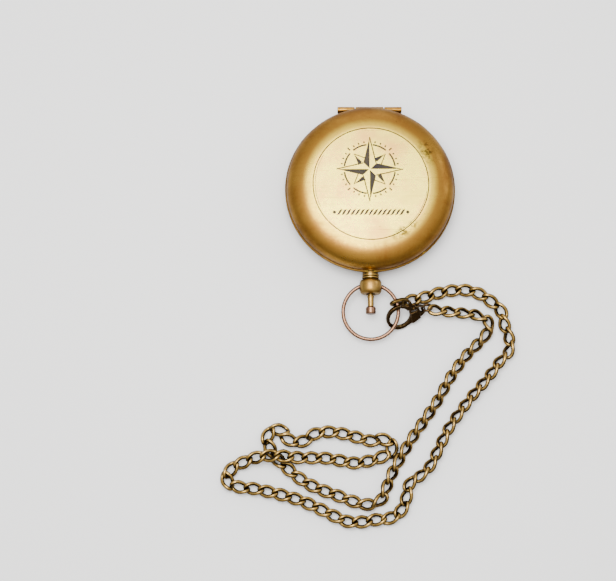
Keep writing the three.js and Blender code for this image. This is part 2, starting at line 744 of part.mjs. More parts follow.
const onFloor = chainRadius + 0.05;
const chainOutRoute = [
  [12.6, -33.0, 2.1],
  [16.2, -32.0, 1.7],
  [21.4, -30.5, onFloor],
  [27.1, -29.8, onFloor],
  [31.6, -30.6, onFloor],
  [36.3, -33.6, onFloor],
  [39.4, -37.2, onFloor],
  [39.8, -41.4, onFloor],
  [41.6, -46.4, onFloor],
  [38.2, -51.4, onFloor],
  [34.5, -56.3, onFloor],
  [30.4, -61.0, onFloor],
  [26.4, -66.1, onFloor],
  [22.8, -71.2, onFloor],
  [18.9, -78.8, onFloor],
  [16.2, -83.6, onFloor],
  [11.2, -87.4, onFloor],
  [9.9, -92.0, onFloor],
  [7.4, -96.6, onFloor],
  [1.0, -98.0, onFloor],
  [-6.4, -98.6, onFloor],
  [-14.7, -95.1, onFloor],
  [-20.6, -92.5, onFloor],
];
const chainBackRoute = [
  [-21.1, -92.3, onFloor],
  [-27.5, -90.5, onFloor],
  [-34.9, -88.9, onFloor],
  [-40.2, -88.1, onFloor],
  [-42.8, -85.4, onFloor],
  [-40.1, -82.8, onFloor],
  [-34.2, -80.2, 3.2],
  [-28.2, -79.6, 4.85],
  [-21.5, -80.0, 2.4],
  [-12.4, -80.2, onFloor],
  [-4.8, -81.5, onFloor],
  [1.5, -80.2, onFloor],
  [5.6, -78.2, onFloor],
  [5.6, -75.0, onFloor],
  [-0.2, -75.0, onFloor],
  [-8.0, -73.0, onFloor],
  [-15.3, -72.5, onFloor],
  [-20.8, -75.3, onFloor],
  [-24.8, -74.4, onFloor],
  [-27.5, -71.5, onFloor],
  [-30.6, -74.0, onFloor],
  [-28.8, -78.8, onFloor],
  [-23.2, -84.3, onFloor],
  [-18.5, -87.6, onFloor],
  [-9.5, -91.2, onFloor],
  [-1.6, -93.6, onFloor],
  [2.6, -92.2, onFloor],
  [4.9, -86.6, onFloor],
  [10.8, -75.9, onFloor],
  [14.4, -70.6, onFloor],
  [19.2, -63.6, onFloor],
  [23.4, -56.3, onFloor],
  [28.4, -49.5, onFloor],
  [33.6, -44.2, onFloor],
  [35.2, -40.4, onFloor],
  [32.0, -37.8, onFloor],
  [25.2, -36.7, 1.8],
  [19.1, -34.6, 2.8],
];
const routeCurve = (route) =>
  new THREE.CatmullRomCurve3(route.map((point) => new THREE.Vector3(...point)), false, "centripetal");
add("chain_out", wire(routeCurve(chainOutRoute), chainRadius, 8, 28), brass);
add("chain_back", wire(routeCurve(chainBackRoute), chainRadius, 8, 52), brass);

export default group;
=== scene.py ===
import math

import bmesh
import bpy
from mathutils import Matrix, Vector


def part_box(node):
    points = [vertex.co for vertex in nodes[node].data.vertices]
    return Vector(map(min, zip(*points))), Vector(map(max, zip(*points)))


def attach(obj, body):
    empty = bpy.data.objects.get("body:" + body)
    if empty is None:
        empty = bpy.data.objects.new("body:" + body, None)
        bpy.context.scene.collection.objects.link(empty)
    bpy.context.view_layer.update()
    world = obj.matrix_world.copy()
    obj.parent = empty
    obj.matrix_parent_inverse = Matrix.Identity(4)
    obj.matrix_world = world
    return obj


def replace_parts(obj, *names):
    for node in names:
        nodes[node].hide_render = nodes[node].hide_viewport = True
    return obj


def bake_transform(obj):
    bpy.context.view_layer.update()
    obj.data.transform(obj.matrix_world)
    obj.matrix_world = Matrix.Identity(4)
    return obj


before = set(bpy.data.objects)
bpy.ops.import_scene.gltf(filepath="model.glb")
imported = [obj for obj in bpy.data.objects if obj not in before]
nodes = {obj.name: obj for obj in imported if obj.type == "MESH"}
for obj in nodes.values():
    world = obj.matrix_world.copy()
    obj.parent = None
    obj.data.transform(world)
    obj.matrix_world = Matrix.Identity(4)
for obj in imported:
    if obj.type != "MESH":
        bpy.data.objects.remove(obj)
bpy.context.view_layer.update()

mm = 0.001
print("frame loaded")


cameraView = {
    "target": (-0.0186, -0.0296, 0.0),
    "distance": 0.504,
    "elevation": 77.5,  # degrees above the table
    "lens": 98.33,
    "sensor": 36.0,
}


def makeCamera():
    data = bpy.data.cameras.new("camera")
    data.lens = cameraView["lens"]
    data.sensor_width = cameraView["sensor"]
    data.sensor_fit = "HORIZONTAL"
    data.clip_start = 0.01
    camera = bpy.data.objects.new("camera", data)
    bpy.context.collection.objects.link(camera)
    tilt = math.radians(cameraView["elevation"])
    back = Vector((0, -math.cos(tilt), math.sin(tilt))) * cameraView["distance"]
    camera.location = Vector(cameraView["target"]) + back
    camera.rotation_euler = (math.pi / 2 - tilt, 0, 0)
    bpy.context.scene.camera = camera


makeCamera()


def addNode(tree, kind, inputs=None, **settings):
    node = tree.nodes.new(kind)
    for key, value in settings.items():
        setattr(node, key, value)
    for key, value in (inputs or {}).items():
        if isinstance(value, bpy.types.NodeSocket):
            tree.links.new(value, node.inputs[key])
        else:
            node.inputs[key].default_value = value
    return node


def calc(tree, operation, first, second=0.0, clamp=False):
    node = addNode(tree, "ShaderNodeMath", {0: first, 1: second}, operation=operation, use_clamp=clamp)
    return node.outputs[0]


def noise(tree, place, scale, detail, roughness=0.5):
    inputs = {"Vector": place, "Scale": scale, "Detail": detail, "Roughness": roughness}
    return addNode(tree, "ShaderNodeTexNoise", inputs).outputs[0]


def ramp(tree, value, low, high, toLow=0.0, toHigh=1.0):
    inputs = {"Value": value, "From Min": low, "From Max": high, "To Min": toLow, "To Max": toHigh}
    return addNode(tree, "ShaderNodeMapRange", inputs).outputs["Result"]


def mixColour(tree, factor, first, second, blend="MIX"):
    node = addNode(tree, "ShaderNodeMix", data_type="RGBA", blend_type=blend)
    for socket, value in ((node.inputs[0], factor), (node.inputs[6], first), (node.inputs[7], second)):
        if isinstance(value, bpy.types.NodeSocket):
            tree.links.new(value, socket)
        else:
            socket.default_value = value
    return node.outputs[2]


def newGroup(name, kind, inputs, outputs):
    tree = bpy.data.node_groups.new(name, kind)
    for label, socketType, value in inputs:
        socket = tree.interface.new_socket(label, in_out="INPUT", socket_type=socketType)
        if value is not None:
            socket.default_value = value
    for label, socketType in outputs:
        tree.interface.new_socket(label, in_out="OUTPUT", socket_type=socketType)
    return tree, tree.nodes.new("NodeGroupInput").outputs, tree.nodes.new("NodeGroupOutput").inputs


def applyTree(obj, tree, values):
    # Runs a geometry tree on the object and leaves its result as a plain mesh.
    modifier = obj.modifiers.new("build", "NODES")
    modifier.node_group = tree
    for item in tree.interface.items_tree:
        if item.item_type == "SOCKET" and item.in_out == "INPUT" and item.name in values:
            modifier[item.identifier] = values[item.name]
    settle(obj)


def settle(obj):
    # Turns what the modifiers make into the object's own mesh.
    bpy.context.view_layer.update()
    made = bpy.data.meshes.new_from_object(obj.evaluated_get(bpy.context.evaluated_depsgraph_get()))
    obj.modifiers.clear()
    obj.data = made
    made.name = obj.name


brass = {
    "panel": (0.80, 0.63, 0.10, 1),
    "panelBlush": (0.72, 0.42, 0.10, 1),
    "band": (0.62, 0.43, 0.05, 1),  # painted highlight band just outside the engraved circle; also the base's worn edges
    "case": (0.46, 0.235, 0.036, 1),
    # inner shoulder painted darker as painted shade, outer shoulder painted lighter, to even out the
    # reflections on the lid
    "innerShoulder": (0.34, 0.175, 0.026, 1),
    "outerShoulder": (0.48, 0.250, 0.042, 1),
    # the base's brass painted darker than the lid's, as painted shade below the lid
    "underside": (0.20, 0.100, 0.020, 1),
    "tarnish": (0.24, 0.105, 0.018, 1),
    # darker tarnish, used as painted shade on the lid's rim and on the base
    "deepTarnishAndShade": (0.15, 0.066, 0.012, 1),
    "grimeAndShade": (0.010, 0.006, 0.004, 1),
    "engraving": (0.034, 0.030, 0.031, 1),
    "pendant": (0.40, 0.25, 0.065, 1),
    "rose": (0.27, 0.145, 0.088, 1),
    "chain": (0.66, 0.41, 0.110, 1),
    # near-black patina of the links, which also serves as painted shade on the wire's sides
    "chainPatinaAndShade": (0.017, 0.008, 0.003, 1),
    "bronze": (0.105, 0.058, 0.022, 1),
    "bronzeWorn": (0.42, 0.28, 0.10, 1),
    "steel": (0.27, 0.255, 0.235, 1),
}


def makeAgedMetal():
    # Patches of tarnish, soiling mixed with painted shade in the hollows, bright edges, fine scratches and
    # pits.
    tree, given, out = newGroup("agedMetal", "ShaderNodeTree", [
        ("Bright", "NodeSocketColor", (0.6, 0.4, 0.15, 1)),
        ("Tarnish", "NodeSocketColor", (0.3, 0.17, 0.05, 1)),
        # the next colour darkens pits and soiling, and is also the colour of the painted shade in hollows
        ("Grime", "NodeSocketColor", (0.02, 0.012, 0.006, 1)),
        ("Worn", "NodeSocketColor", (0.6, 0.4, 0.15, 1)),
        ("Patch Scale", "NodeSocketFloat", 90.0),
        ("Tarnish Amount", "NodeSocketFloat", 0.5),
        # the next two set the painted shade: ambient occlusion within this distance darkens hollows, seams
        # and faces near the floor, standing in for shade as well as soiling
        ("Hollow Size", "NodeSocketFloat", 0.001),
        ("Hollow Dirt", "NodeSocketFloat", 0.7),
        ("Edge Wear", "NodeSocketFloat", 0.5),
        ("Scratches", "NodeSocketFloat", 0.5),
        ("Extra Grime", "NodeSocketFloat", 0.0),
        ("Roughness", "NodeSocketFloat", 0.28),
        ("Grain", "NodeSocketFloat", 0.3),
    ], [("Color", "NodeSocketColor"), ("Roughness", "NodeSocketFloat"), ("Normal", "NodeSocketVector")])
    place = addNode(tree, "ShaderNodeTexCoord").outputs["Object"]
    patches = addNode(tree, "ShaderNodeTexNoise", {
        "Vector": place, "Scale": given["Patch Scale"], "Detail": 5.0, "Roughness": 0.6, "Distortion": 0.4})
    patchMask = ramp(tree, patches.outputs[0], 0.40, 0.68)
    fine = noise(tree, place, 1100.0, 5.0, 0.65)
    fineMask = ramp(tree, fine, 0.35, 0.70)
    tarnished = calc(tree, "MULTIPLY", patchMask, given["Tarnish Amount"])
    speckle = calc(tree, "MULTIPLY", calc(tree, "MULTIPLY", fineMask, 0.30), given["Tarnish Amount"])
    tarnished = calc(tree, "ADD", tarnished, speckle, clamp=True)
    colour = mixColour(tree, tarnished, given["Bright"], given["Tarnish"])

    scratchMasks = []
    for angle, stretch in ((0.5, 45.0), (-0.9, 60.0), (1.9, 30.0)):
        turned = addNode(tree, "ShaderNodeMapping", {
            "Vector": place, "Rotation": (0.0, 0.0, angle), "Scale": (stretch, 2400.0, stretch)})
        scratchMasks.append(ramp(tree, noise(tree, turned.outputs[0], 1.0, 2.0), 0.66, 0.72))
    scratch = calc(tree, "MAXIMUM", scratchMasks[0], scratchMasks[1])
    scratch = calc(tree, "MAXIMUM", scratch, scratchMasks[2])
    scratch = calc(tree, "MULTIPLY", scratch, given["Scratches"])
    colour = mixColour(tree, calc(tree, "MULTIPLY", scratch, 0.5), colour, given["Tarnish"])

    cells = addNode(tree, "ShaderNodeTexVoronoi", {"Vector": place, "Scale": 420.0})
    pits = ramp(tree, cells.outputs["Distance"], 0.10, 0.04)
    sparse = ramp(tree, patches.outputs[0], 0.55, 0.62)
    pits = calc(tree, "MULTIPLY", calc(tree, "MULTIPLY", pits, sparse), given["Scratches"], clamp=True)
    colour = mixColour(tree, pits, colour, given["Grime"])

    pointiness = addNode(tree, "ShaderNodeNewGeometry").outputs["Pointiness"]
    edges = calc(tree, "MULTIPLY", ramp(tree, pointiness, 0.52, 0.60), given["Edge Wear"])
    colour = mixColour(tree, edges, colour, given["Worn"])

    # painted shade: ambient occlusion, which also sees the floor and other parts, darkens hollows, seams
    # and undersides towards the dark colour, together with soiling
    hollow = addNode(tree, "ShaderNodeAmbientOcclusion", {"Distance": given["Hollow Size"]}, samples=6)
    shadeAndDirt = ramp(tree, hollow.outputs["AO"], 0.92, 0.35)
    shadeAndDirt = calc(tree, "MULTIPLY", shadeAndDirt, given["Hollow Dirt"])
    shadeAndDirt = calc(tree, "MAXIMUM", shadeAndDirt, given["Extra Grime"], clamp=True)
    tree.links.new(mixColour(tree, shadeAndDirt, colour, given["Grime"]), out["Color"])

    rough = calc(tree, "ADD", given["Roughness"], calc(tree, "MULTIPLY", tarnished, 0.16))
    rough = calc(tree, "ADD", rough, calc(tree, "MULTIPLY", fineMask, 0.06))
    rough = calc(tree, "ADD", rough, calc(tree, "MULTIPLY", shadeAndDirt, 0.3), clamp=True)
    tree.links.new(rough, out["Roughness"])
    height = calc(tree, "MULTIPLY", fine, given["Grain"])
    height = calc(tree, "SUBTRACT", height, calc(tree, "MULTIPLY", scratch, 0.5))
    height = calc(tree, "SUBTRACT", height, calc(tree, "MULTIPLY", pits, 0.8))
    bump = addNode(tree, "ShaderNodeBump", {"Strength": 0.25, "Distance": 0.00006, "Height": height})
    tree.links.new(bump.outputs[0], out["Normal"])
    return tree


agedMetal = makeAgedMetal()


def newMaterial(name, **constants):
    material = bpy.data.materials.new(name)
    material.use_nodes = True
    shader = material.node_tree.nodes["Principled BSDF"]
    for label, value in constants.items():
        shader.inputs[label.replace("_", " ")].default_value = value
    return material, material.node_tree, shader


def metalFinish(name, **values):
    material, tree, shader = newMaterial(name, Metallic=1.0)
    aged = addNode(tree, "ShaderNodeGroup", node_tree=agedMetal)
    for label, value in values.items():
        aged.inputs[label.replace("_", " ")].default_value = value
    tree.links.new(aged.outputs["Color"], shader.inputs["Base Color"])
    tree.links.new(aged.outputs["Roughness"], shader.inputs["Roughness"])
    tree.links.new(aged.outputs["Normal"], shader.inputs["Normal"])
    return material, tree, aged


lidFinish = {
    "panelEdge": 17.0 * mm,  # pale inside this radius, golden outside it
    "band": (18.8 * mm, 20.3 * mm),  # where the painted highlight band fades out
    # painted shade: darker inner shoulder lightening to the outer shoulder between these radii
    "shoulder": (21.0 * mm, 24.0 * mm),
    # painted shade: the rim darkens between these radii
    "rim": (24.2 * mm, 25.0 * mm),
    # tarnish grows out to this radius, partly as painted shade on the shoulder
    "tarnishAndShadeFull": 21.5 * mm,
    # stains: middle, turn in degrees, half length and half width
    "smudge": ((0.0166, 0.0098, 0.0125), -70, 0.0050, 0.0030),
    "scuff": ((0.0100, -0.0142, 0.013), 33, 0.0058, 0.0020),
}


def stain(tree, place, centre, turn, length, width, rough):
    # A ragged oval spot on the lid.
    turned = addNode(tree, "ShaderNodeMapping", {
        "Vector": place, "Location": centre, "Rotation": (0.0, 0.0, math.radians(turn)),
        "Scale": (length, width, 0.02)}, vector_type="TEXTURE")
    apart = addNode(tree, "ShaderNodeVectorMath", {0: turned.outputs[0]}, operation="LENGTH")
    ragged = noise(tree, place, rough, 5.0, 0.7)
    spot = ramp(tree, apart.outputs["Value"], 1.0, 0.35)
    return calc(tree, "MULTIPLY", spot, ramp(tree, ragged, 0.46, 0.58))


def lidMaterial():
    material, tree, aged = metalFinish(
        "lidBrass", Worn=brass["case"], Patch_Scale=75.0, Hollow_Size=0.0006, Hollow_Dirt=0.5,
        Edge_Wear=0.0, Scratches=0.5, Roughness=0.25, Grain=0.35)
    place = addNode(tree, "ShaderNodeTexCoord").outputs["Object"]
    split = addNode(tree, "ShaderNodeSeparateXYZ", {0: place}).outputs
    squares = [calc(tree, "MULTIPLY", split[axis], split[axis]) for axis in (0, 1)]
    across = calc(tree, "SQRT", calc(tree, "ADD", squares[0], squares[1]))
    edge = lidFinish["panelEdge"]
    cloud = noise(tree, place, 110.0, 4.0, 0.6)
    blush = ramp(tree, cloud, 0.42, 0.66)
    panel = mixColour(tree, blush, brass["panel"], brass["panelBlush"])
    # Outside the panel the colour is painted light: a painted highlight band, then painted shade on the
    # inner shoulder, lighter towards the outer shoulder.
    fade = ramp(tree, across, *lidFinish["band"])
    outside = mixColour(tree, fade, brass["band"], brass["innerShoulder"])
    fade = ramp(tree, across, *lidFinish["shoulder"])
    outside = mixColour(tree, fade, outside, brass["outerShoulder"])
    bright = mixColour(tree, ramp(tree, across, edge + 0.0010, edge), outside, panel)
    tree.links.new(bright, aged.inputs["Bright"])
    # painted shade: the tarnish colour darkens at the rim
    fade = ramp(tree, across, *lidFinish["rim"])
    tarnish = mixColour(tree, fade, brass["tarnish"], brass["deepTarnishAndShade"])
    tree.links.new(tarnish, aged.inputs["Tarnish"])
    # tarnish amount rises from the panel edge outwards: tarnish patches together with painted shade on the
    # shoulder
    amount = ramp(tree, across, edge, lidFinish["tarnishAndShadeFull"], 0.22, 0.9)
    tree.links.new(amount, aged.inputs["Tarnish Amount"])
    engraved = addNode(tree, "ShaderNodeAttribute", attribute_name="engraved").outputs["Fac"]
    tree.links.new(
        mixColour(tree, engraved, brass["grimeAndShade"], brass["engraving"]), aged.inputs["Grime"])
    marks = calc(tree, "MAXIMUM", stain(tree, place, *lidFinish["smudge"], 650.0),
                 stain(tree, place, *lidFinish["scuff"], 800.0))
    marks = calc(tree, "MULTIPLY", marks, 0.8)
    filled = calc(tree, "MULTIPLY", engraved, ramp(tree, cloud, 0.3, 0.7, 1.0, 0.93))
    tree.links.new(calc(tree, "MAXIMUM", marks, filled), aged.inputs["Extra Grime"])
    return material


def chainMaterial():
    # The links' flat and outer faces are worn bright; the rest is dark patina, deepened on the wire's sides
    # as painted shade.
    material, tree, aged = metalFinish(
        "chainBrass", Tarnish=brass["chainPatinaAndShade"], Grime=brass["grimeAndShade"],
        Worn=brass["chain"], Patch_Scale=260.0, Tarnish_Amount=0.35, Hollow_Size=0.0022,
        Hollow_Dirt=0.92, Edge_Wear=0.0, Scratches=0.2, Roughness=0.20, Grain=0.3)
    wearAndSheen = addNode(tree, "ShaderNodeAttribute", attribute_name="wearAndSheen").outputs["Fac"]
    place = addNode(tree, "ShaderNodeTexCoord").outputs["Object"]
    uneven = ramp(tree, noise(tree, place, 700.0, 3.0), 0.3, 0.7, -0.18, 0.18)
    wearAndSheen = calc(tree, "ADD", wearAndSheen, uneven, clamp=True)
    tree.links.new(
        mixColour(tree, wearAndSheen, brass["chainPatinaAndShade"], brass["chain"]), aged.inputs["Bright"])
    return material


def crystalMaterial():
    material, tree, shader = newMaterial(
        "crystalGlass", Roughness=0.03, IOR=1.15, Transmission_Weight=1.0, Base_Color=(0.97, 0.99, 0.99, 1))
    place = addNode(tree, "ShaderNodeTexCoord").outputs["Object"]
    film = noise(tree, place, 260.0, 4.0)
    tree.links.new(ramp(tree, film, 0.4, 0.8, 0.0, 0.012), shader.inputs["Roughness"])
    return material


def enamelMaterial(name, light, dark):
    material, tree, shader = newMaterial(name, Roughness=0.45)
    place = addNode(tree, "ShaderNodeTexCoord").outputs["Object"]
    age = noise(tree, place, 130.0, 6.0, 0.65)
    specks = noise(tree, place, 2600.0, 2.0)
    colour = mixColour(tree, ramp(tree, age, 0.42, 0.75), light, dark)
    colour = mixColour(tree, ramp(tree, specks, 0.66, 0.74, 0.0, 0.35), colour, dark)
    tree.links.new(colour, shader.inputs["Base Color"])
    tree.links.new(ramp(tree, age, 0.3, 0.8, 0.38, 0.6), shader.inputs["Roughness"])
    bump = addNode(tree, "ShaderNodeBump", {"Strength": 0.2, "Distance": 0.00003, "Height": specks})
    tree.links.new(bump.outputs[0], shader.inputs["Normal"])
    return material


plainMetals = {
    "case": ("caseBrass", {
        "Bright": brass["case"], "Tarnish": brass["tarnish"], "Worn": brass["case"], "Patch_Scale": 75.0,
        "Tarnish_Amount": 0.95, "Hollow_Size": 0.0010, "Hollow_Dirt": 0.9, "Edge_Wear": 0.5,
        "Roughness": 0.27}),
    # the base is painted dark as painted shade below the lid, with heavier tarnish and a wider painted
    # shade in its hollows
    "base": ("baseBrass", {
        "Bright": brass["underside"], "Tarnish": brass["deepTarnishAndShade"], "Worn": brass["band"],
        "Patch_Scale": 75.0, "Tarnish_Amount": 0.9, "Hollow_Size": 0.0020, "Hollow_Dirt": 0.95,
        "Edge_Wear": 0.7, "Roughness": 0.27}),
    "pendant": ("pendantBrass", {
        "Bright": brass["pendant"], "Tarnish": brass["tarnish"], "Worn": brass["pendant"],
        "Patch_Scale": 220.0, "Tarnish_Amount": 0.6, "Hollow_Size": 0.0010, "Hollow_Dirt": 0.92,
        "Edge_Wear": 0.3, "Scratches": 0.35, "Roughness": 0.24}),
    "bow": ("roseBrass", {
        "Bright": brass["rose"], "Tarnish": (0.12, 0.06, 0.03, 1), "Worn": brass["rose"],
        "Patch_Scale": 200.0, "Tarnish_Amount": 0.5, "Hollow_Size": 0.0010, "Hollow_Dirt": 0.7,
        "Edge_Wear": 0.0, "Scratches": 0.3, "Roughness": 0.2}),
    "bronze": ("darkBronze", {
        "Bright": brass["bronze"], "Tarnish": (0.018, 0.011, 0.006, 1), "Grime": (0.006, 0.004, 0.003, 1),
        "Worn": brass["bronzeWorn"], "Patch_Scale": 240.0, "Tarnish_Amount": 0.5, "Hollow_Size": 0.0012,
        "Hollow_Dirt": 0.85, "Edge_Wear": 0.8, "Scratches": 0.4, "Roughness": 0.17}),
    "steel": ("springSteel", {
        "Bright": brass["steel"], "Tarnish": (0.17, 0.16, 0.14, 1), "Grime": (0.02, 0.018, 0.015, 1),
        "Worn": brass["steel"], "Patch_Scale": 180.0, "Tarnish_Amount": 0.5, "Hollow_Size": 0.0006,
        "Hollow_Dirt": 0.6, "Edge_Wear": 0.3, "Roughness": 0.3}),
    "blued": ("bluedSteel", {
        "Bright": (0.020, 0.045, 0.20, 1), "Tarnish": (0.012, 0.014, 0.05, 1),
        "Grime": (0.008, 0.008, 0.012, 1), "Worn": (0.05, 0.08, 0.22, 1), "Patch_Scale": 300.0,
        "Tarnish_Amount": 0.5, "Hollow_Size": 0.0004, "Hollow_Dirt": 0.3, "Edge_Wear": 0.2,
        "Roughness": 0.22}),
}
finishes = {
    "lid": lidMaterial(),
    "chain": chainMaterial(),
    "crystal": crystalMaterial(),
    "enamel": enamelMaterial("ivoryEnamel", (0.80, 0.74, 0.58, 1), (0.60, 0.48, 0.29, 1)),
    "ink": enamelMaterial("blackInk", (0.014, 0.013, 0.012, 1), (0.035, 0.028, 0.022, 1)),
    "redInk": enamelMaterial("redInk", (0.30, 0.018, 0.012, 1), (0.16, 0.014, 0.010, 1)),
}
for label, (name, values) in plainMetals.items():
    finishes[label] = metalFinish(name, **({"Grime": brass["grimeAndShade"]} | values))[0]
print("finishes made")


def newObject(name, mesh, finish, body=None):
    obj = bpy.data.objects.new(name, mesh)
    bpy.context.collection.objects.link(obj)
    obj.data.materials.clear()
    obj.data.materials.append(finishes[finish])
    if body:
        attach(obj, body)
    return obj


def smoothShade(obj, angle=32.0):
    mesh = obj.data
    mesh.polygons.foreach_set("use_smooth", [True] * len(mesh.polygons))
    mesh.set_sharp_from_angle(angle=math.radians(angle))
    mesh.update()


def ellipseArc(centreR, centreZ, a, b, start, end, steps):
    # Points of a quarter ellipse in a turned profile; angles in degrees.
    points = []
    for step in range(steps + 1):
        t = math.radians(start + (end - start) * step / steps)
        points.append((centreR + a * math.cos(t), centreZ + b * math.sin(t)))
    return points


def eased(corners, steps=4):
    # A closed profile from (r, z, radius) corners, each rounded to its radius.
    points = []
    count = len(corners)
    for index, corner in enumerate(corners):
        radius = corner[2] if len(corner) > 2 else 0.0
        here = Vector(corner[:2])
        if radius <= 0:
            points.append(tuple(here))
            continue
        before = Vector(corners[index - 1][:2]) - here
        after = Vector(corners[(index + 1) % count][:2]) - here
        angle = before.angle(after)
        reach = min(radius / math.tan(angle / 2), before.length * 0.48, after.length * 0.48)
        start = here + before.normalized() * reach
        end = here + after.normalized() * reach
        for step in range(steps + 1):
            t = step / steps
            points.append(tuple(start * (1 - t) ** 2 + here * 2 * t * (1 - t) + end * t ** 2))
    return points


def turnedMesh(name, profile, sides=128, axis="z", centre=(0, 0, 0)):
    # Revolves a closed profile of (r, height) points in millimetres; points on the axis become poles.
    work = bmesh.new()
    rings = []
    for r, z in profile:
        if r < 1e-6:
            rings.append([work.verts.new((0, 0, z))])
        else:
            turns = (2 * math.pi * side / sides for side in range(sides))
            rings.append([work.verts.new((r * math.cos(t), r * math.sin(t), z)) for t in turns])
    for first, second in zip(rings, rings[1:] + rings[:1]):
        if len(first) == 1 and len(second) == 1:
            continue
        for side in range(sides):
            after = (side + 1) % sides
            if len(first) == 1:
                work.faces.new((first[0], second[after], second[side]))
            elif len(second) == 1:
                work.faces.new((first[side], first[after], second[0]))
            else:
                work.faces.new((first[side], first[after], second[after], second[side]))
    if axis == "y":
        bmesh.ops.rotate(work, verts=work.verts, matrix=Matrix.Rotation(-math.pi / 2, 3, "X"))
    elif axis == "x":
        bmesh.ops.rotate(work, verts=work.verts, matrix=Matrix.Rotation(math.pi / 2, 3, "Y"))
    bmesh.ops.scale(work, verts=work.verts, vec=(mm, mm, mm))
    bmesh.ops.translate(work, verts=work.verts, vec=Vector(centre) * mm)
    bmesh.ops.recalc_face_normals(work, faces=work.faces)
    mesh = bpy.data.meshes.new(name)
    work.to_mesh(mesh)
    work.free()
    return mesh


def turnedPiece(name, profile, finish, body, sides=128, axis="z", centre=(0, 0, 0), angle=32.0):
    obj = newObject(name, turnedMesh(name, profile, sides, axis, centre), finish, body)
    smoothShade(obj, angle)
    return obj


def sweptMesh(name, points, radius, sides=16, closed=False):
    # A round wire along points in metres, with the section carried round without twist.
    count = len(points)
    tangents = []
    for index in range(count):
        before = points[index - 1] if closed or index else points[0]
        after = points[(index + 1) % count] if closed or index < count - 1 else points[-1]
        tangents.append((after - before).normalized())
    side = tangents[0].orthogonal().normalized()
    work = bmesh.new()
    rings = []
    for point, tangent in zip(points, tangents):
        side = (side - tangent * side.dot(tangent)).normalized()
        other = tangent.cross(side)
        turns = (2 * math.pi * step / sides for step in range(sides))
        offsets = [side * math.cos(t) + other * math.sin(t) for t in turns]
        rings.append([work.verts.new(point + offset * radius) for offset in offsets])
    for first, second in zip(rings, rings[1:] + (rings[:1] if closed else [])):
        for step in range(sides):
            after = (step + 1) % sides
            work.faces.new((first[step], first[after], second[after], second[step]))
    if not closed:
        work.faces.new(list(reversed(rings[0])))
        work.faces.new(rings[-1])
    bmesh.ops.recalc_face_normals(work, faces=work.faces)
    mesh = bpy.data.meshes.new(name)
    work.to_mesh(mesh)
    work.free()
    return mesh


def prism(work, outline, low, high):
    # An upright prism in millimetres from an outline that runs either way round.
    bottom = [work.verts.new((x, y, low)) for x, y in outline]
    top = [work.verts.new((x, y, high)) for x, y in outline]
    count = len(outline)
    work.faces.new(bottom)
    work.faces.new(top)
    for index in range(count):
        after = (index + 1) % count
        work.faces.new((bottom[index], bottom[after], top[after], top[index]))


def cutAway(obj, *cutters, crossing=False):
    # Crossing cutters are ones whose own parts run through each other.
    for cutter in cutters:
        tool = bpy.data.objects.new("tool", cutter)
        bpy.context.collection.objects.link(tool)
        modifier = obj.modifiers.new("cut", "BOOLEAN")
        modifier.operation = "DIFFERENCE"
        modifier.solver = "EXACT"
        modifier.use_self = crossing
        modifier.object = tool
        settle(obj)
        bpy.data.objects.remove(tool)
        bpy.data.meshes.remove(cutter)


def softened(name, node, finish, body, voxel, rounds):
    # A cast or filed copy of a small CAD piece, with its corners worn round.
    mesh = nodes[node].data.copy()
    work = bmesh.new()
    work.from_mesh(mesh)
    bmesh.ops.remove_doubles(work, verts=work.verts, dist=1e-6)
    work.to_mesh(mesh)
    work.free()
    obj = newObject(name, mesh, finish)
    remesh = obj.modifiers.new("cast", "REMESH")
    remesh.mode = "VOXEL"
    remesh.voxel_size = voxel * mm
    remesh.use_smooth_shade = True
    smooth = obj.modifiers.new("smooth", "SMOOTH")
    smooth.factor = 0.5
    smooth.iterations = rounds
    settle(obj)
    obj.data.materials.clear()
    obj.data.materials.append(finishes[finish])
    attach(obj, body)
    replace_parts(obj, node)
    return obj


def filed(name, node, finish, body, width):
    # A copy of a flat-sided CAD piece with its edges broken.
    mesh = nodes[node].data.copy()
    work = bmesh.new()
    work.from_mesh(mesh)
    bmesh.ops.remove_doubles(work, verts=work.verts, dist=1e-6)
    bmesh.ops.dissolve_limit(work, angle_limit=math.radians(2), verts=work.verts, edges=work.edges)
    work.to_mesh(mesh)
    work.free()
    obj = newObject(name, mesh, finish)
    bevel = obj.modifiers.new("edges", "BEVEL")
    bevel.width = width * mm
    bevel.segments = 3
    bevel.limit_method = "ANGLE"
    bevel.angle_limit = math.radians(35)
    settle(obj)
    smoothShade(obj, 30)
    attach(obj, body)
    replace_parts(obj, node)
    return obj


chain = {
    "pitch": 4.14 * mm,
    "linkLength": 6.4 * mm,
    "linkWidth": 4.07 * mm,
    "wire": 1.15 * mm,
    "twist": -100.0,  # degrees from one end of a link to the other
    "wearAndSheen": (0.50, 1.02),  # from how much a face looks outwards until it is worn bright; the narrow range leaves the wire's sides in painted shade
    "flatShare": 0.85,
    "outerShare": 0.35,
    "endwise": 0.4,  # how far a link's round ends count as looking outwards
    "linkSteps": 26,
    "wireSides": 10,
    "floorLevel": 1.55 * mm,  # centre line of the route's lowest stretch
    "flatLevel": 1.36 * mm,  # centre of a link that lies flat
    "tiltRise": 0.55 * mm,  # how much higher a link rolled by 45 degrees stands
    "crossingDrop": 0.7,  # links nest closer than round tubes do
    "outLength": 0.1345,
    # distance from the bow along the chain, and the links' roll there in degrees
    "rolls": ((0.0, 20), (0.030, 15), (0.042, 45), (0.092, 42), (0.108, 5), (0.282, 0), (0.296, 42),
              (0.350, 45), (0.365, 30), (0.384, 25)),
}

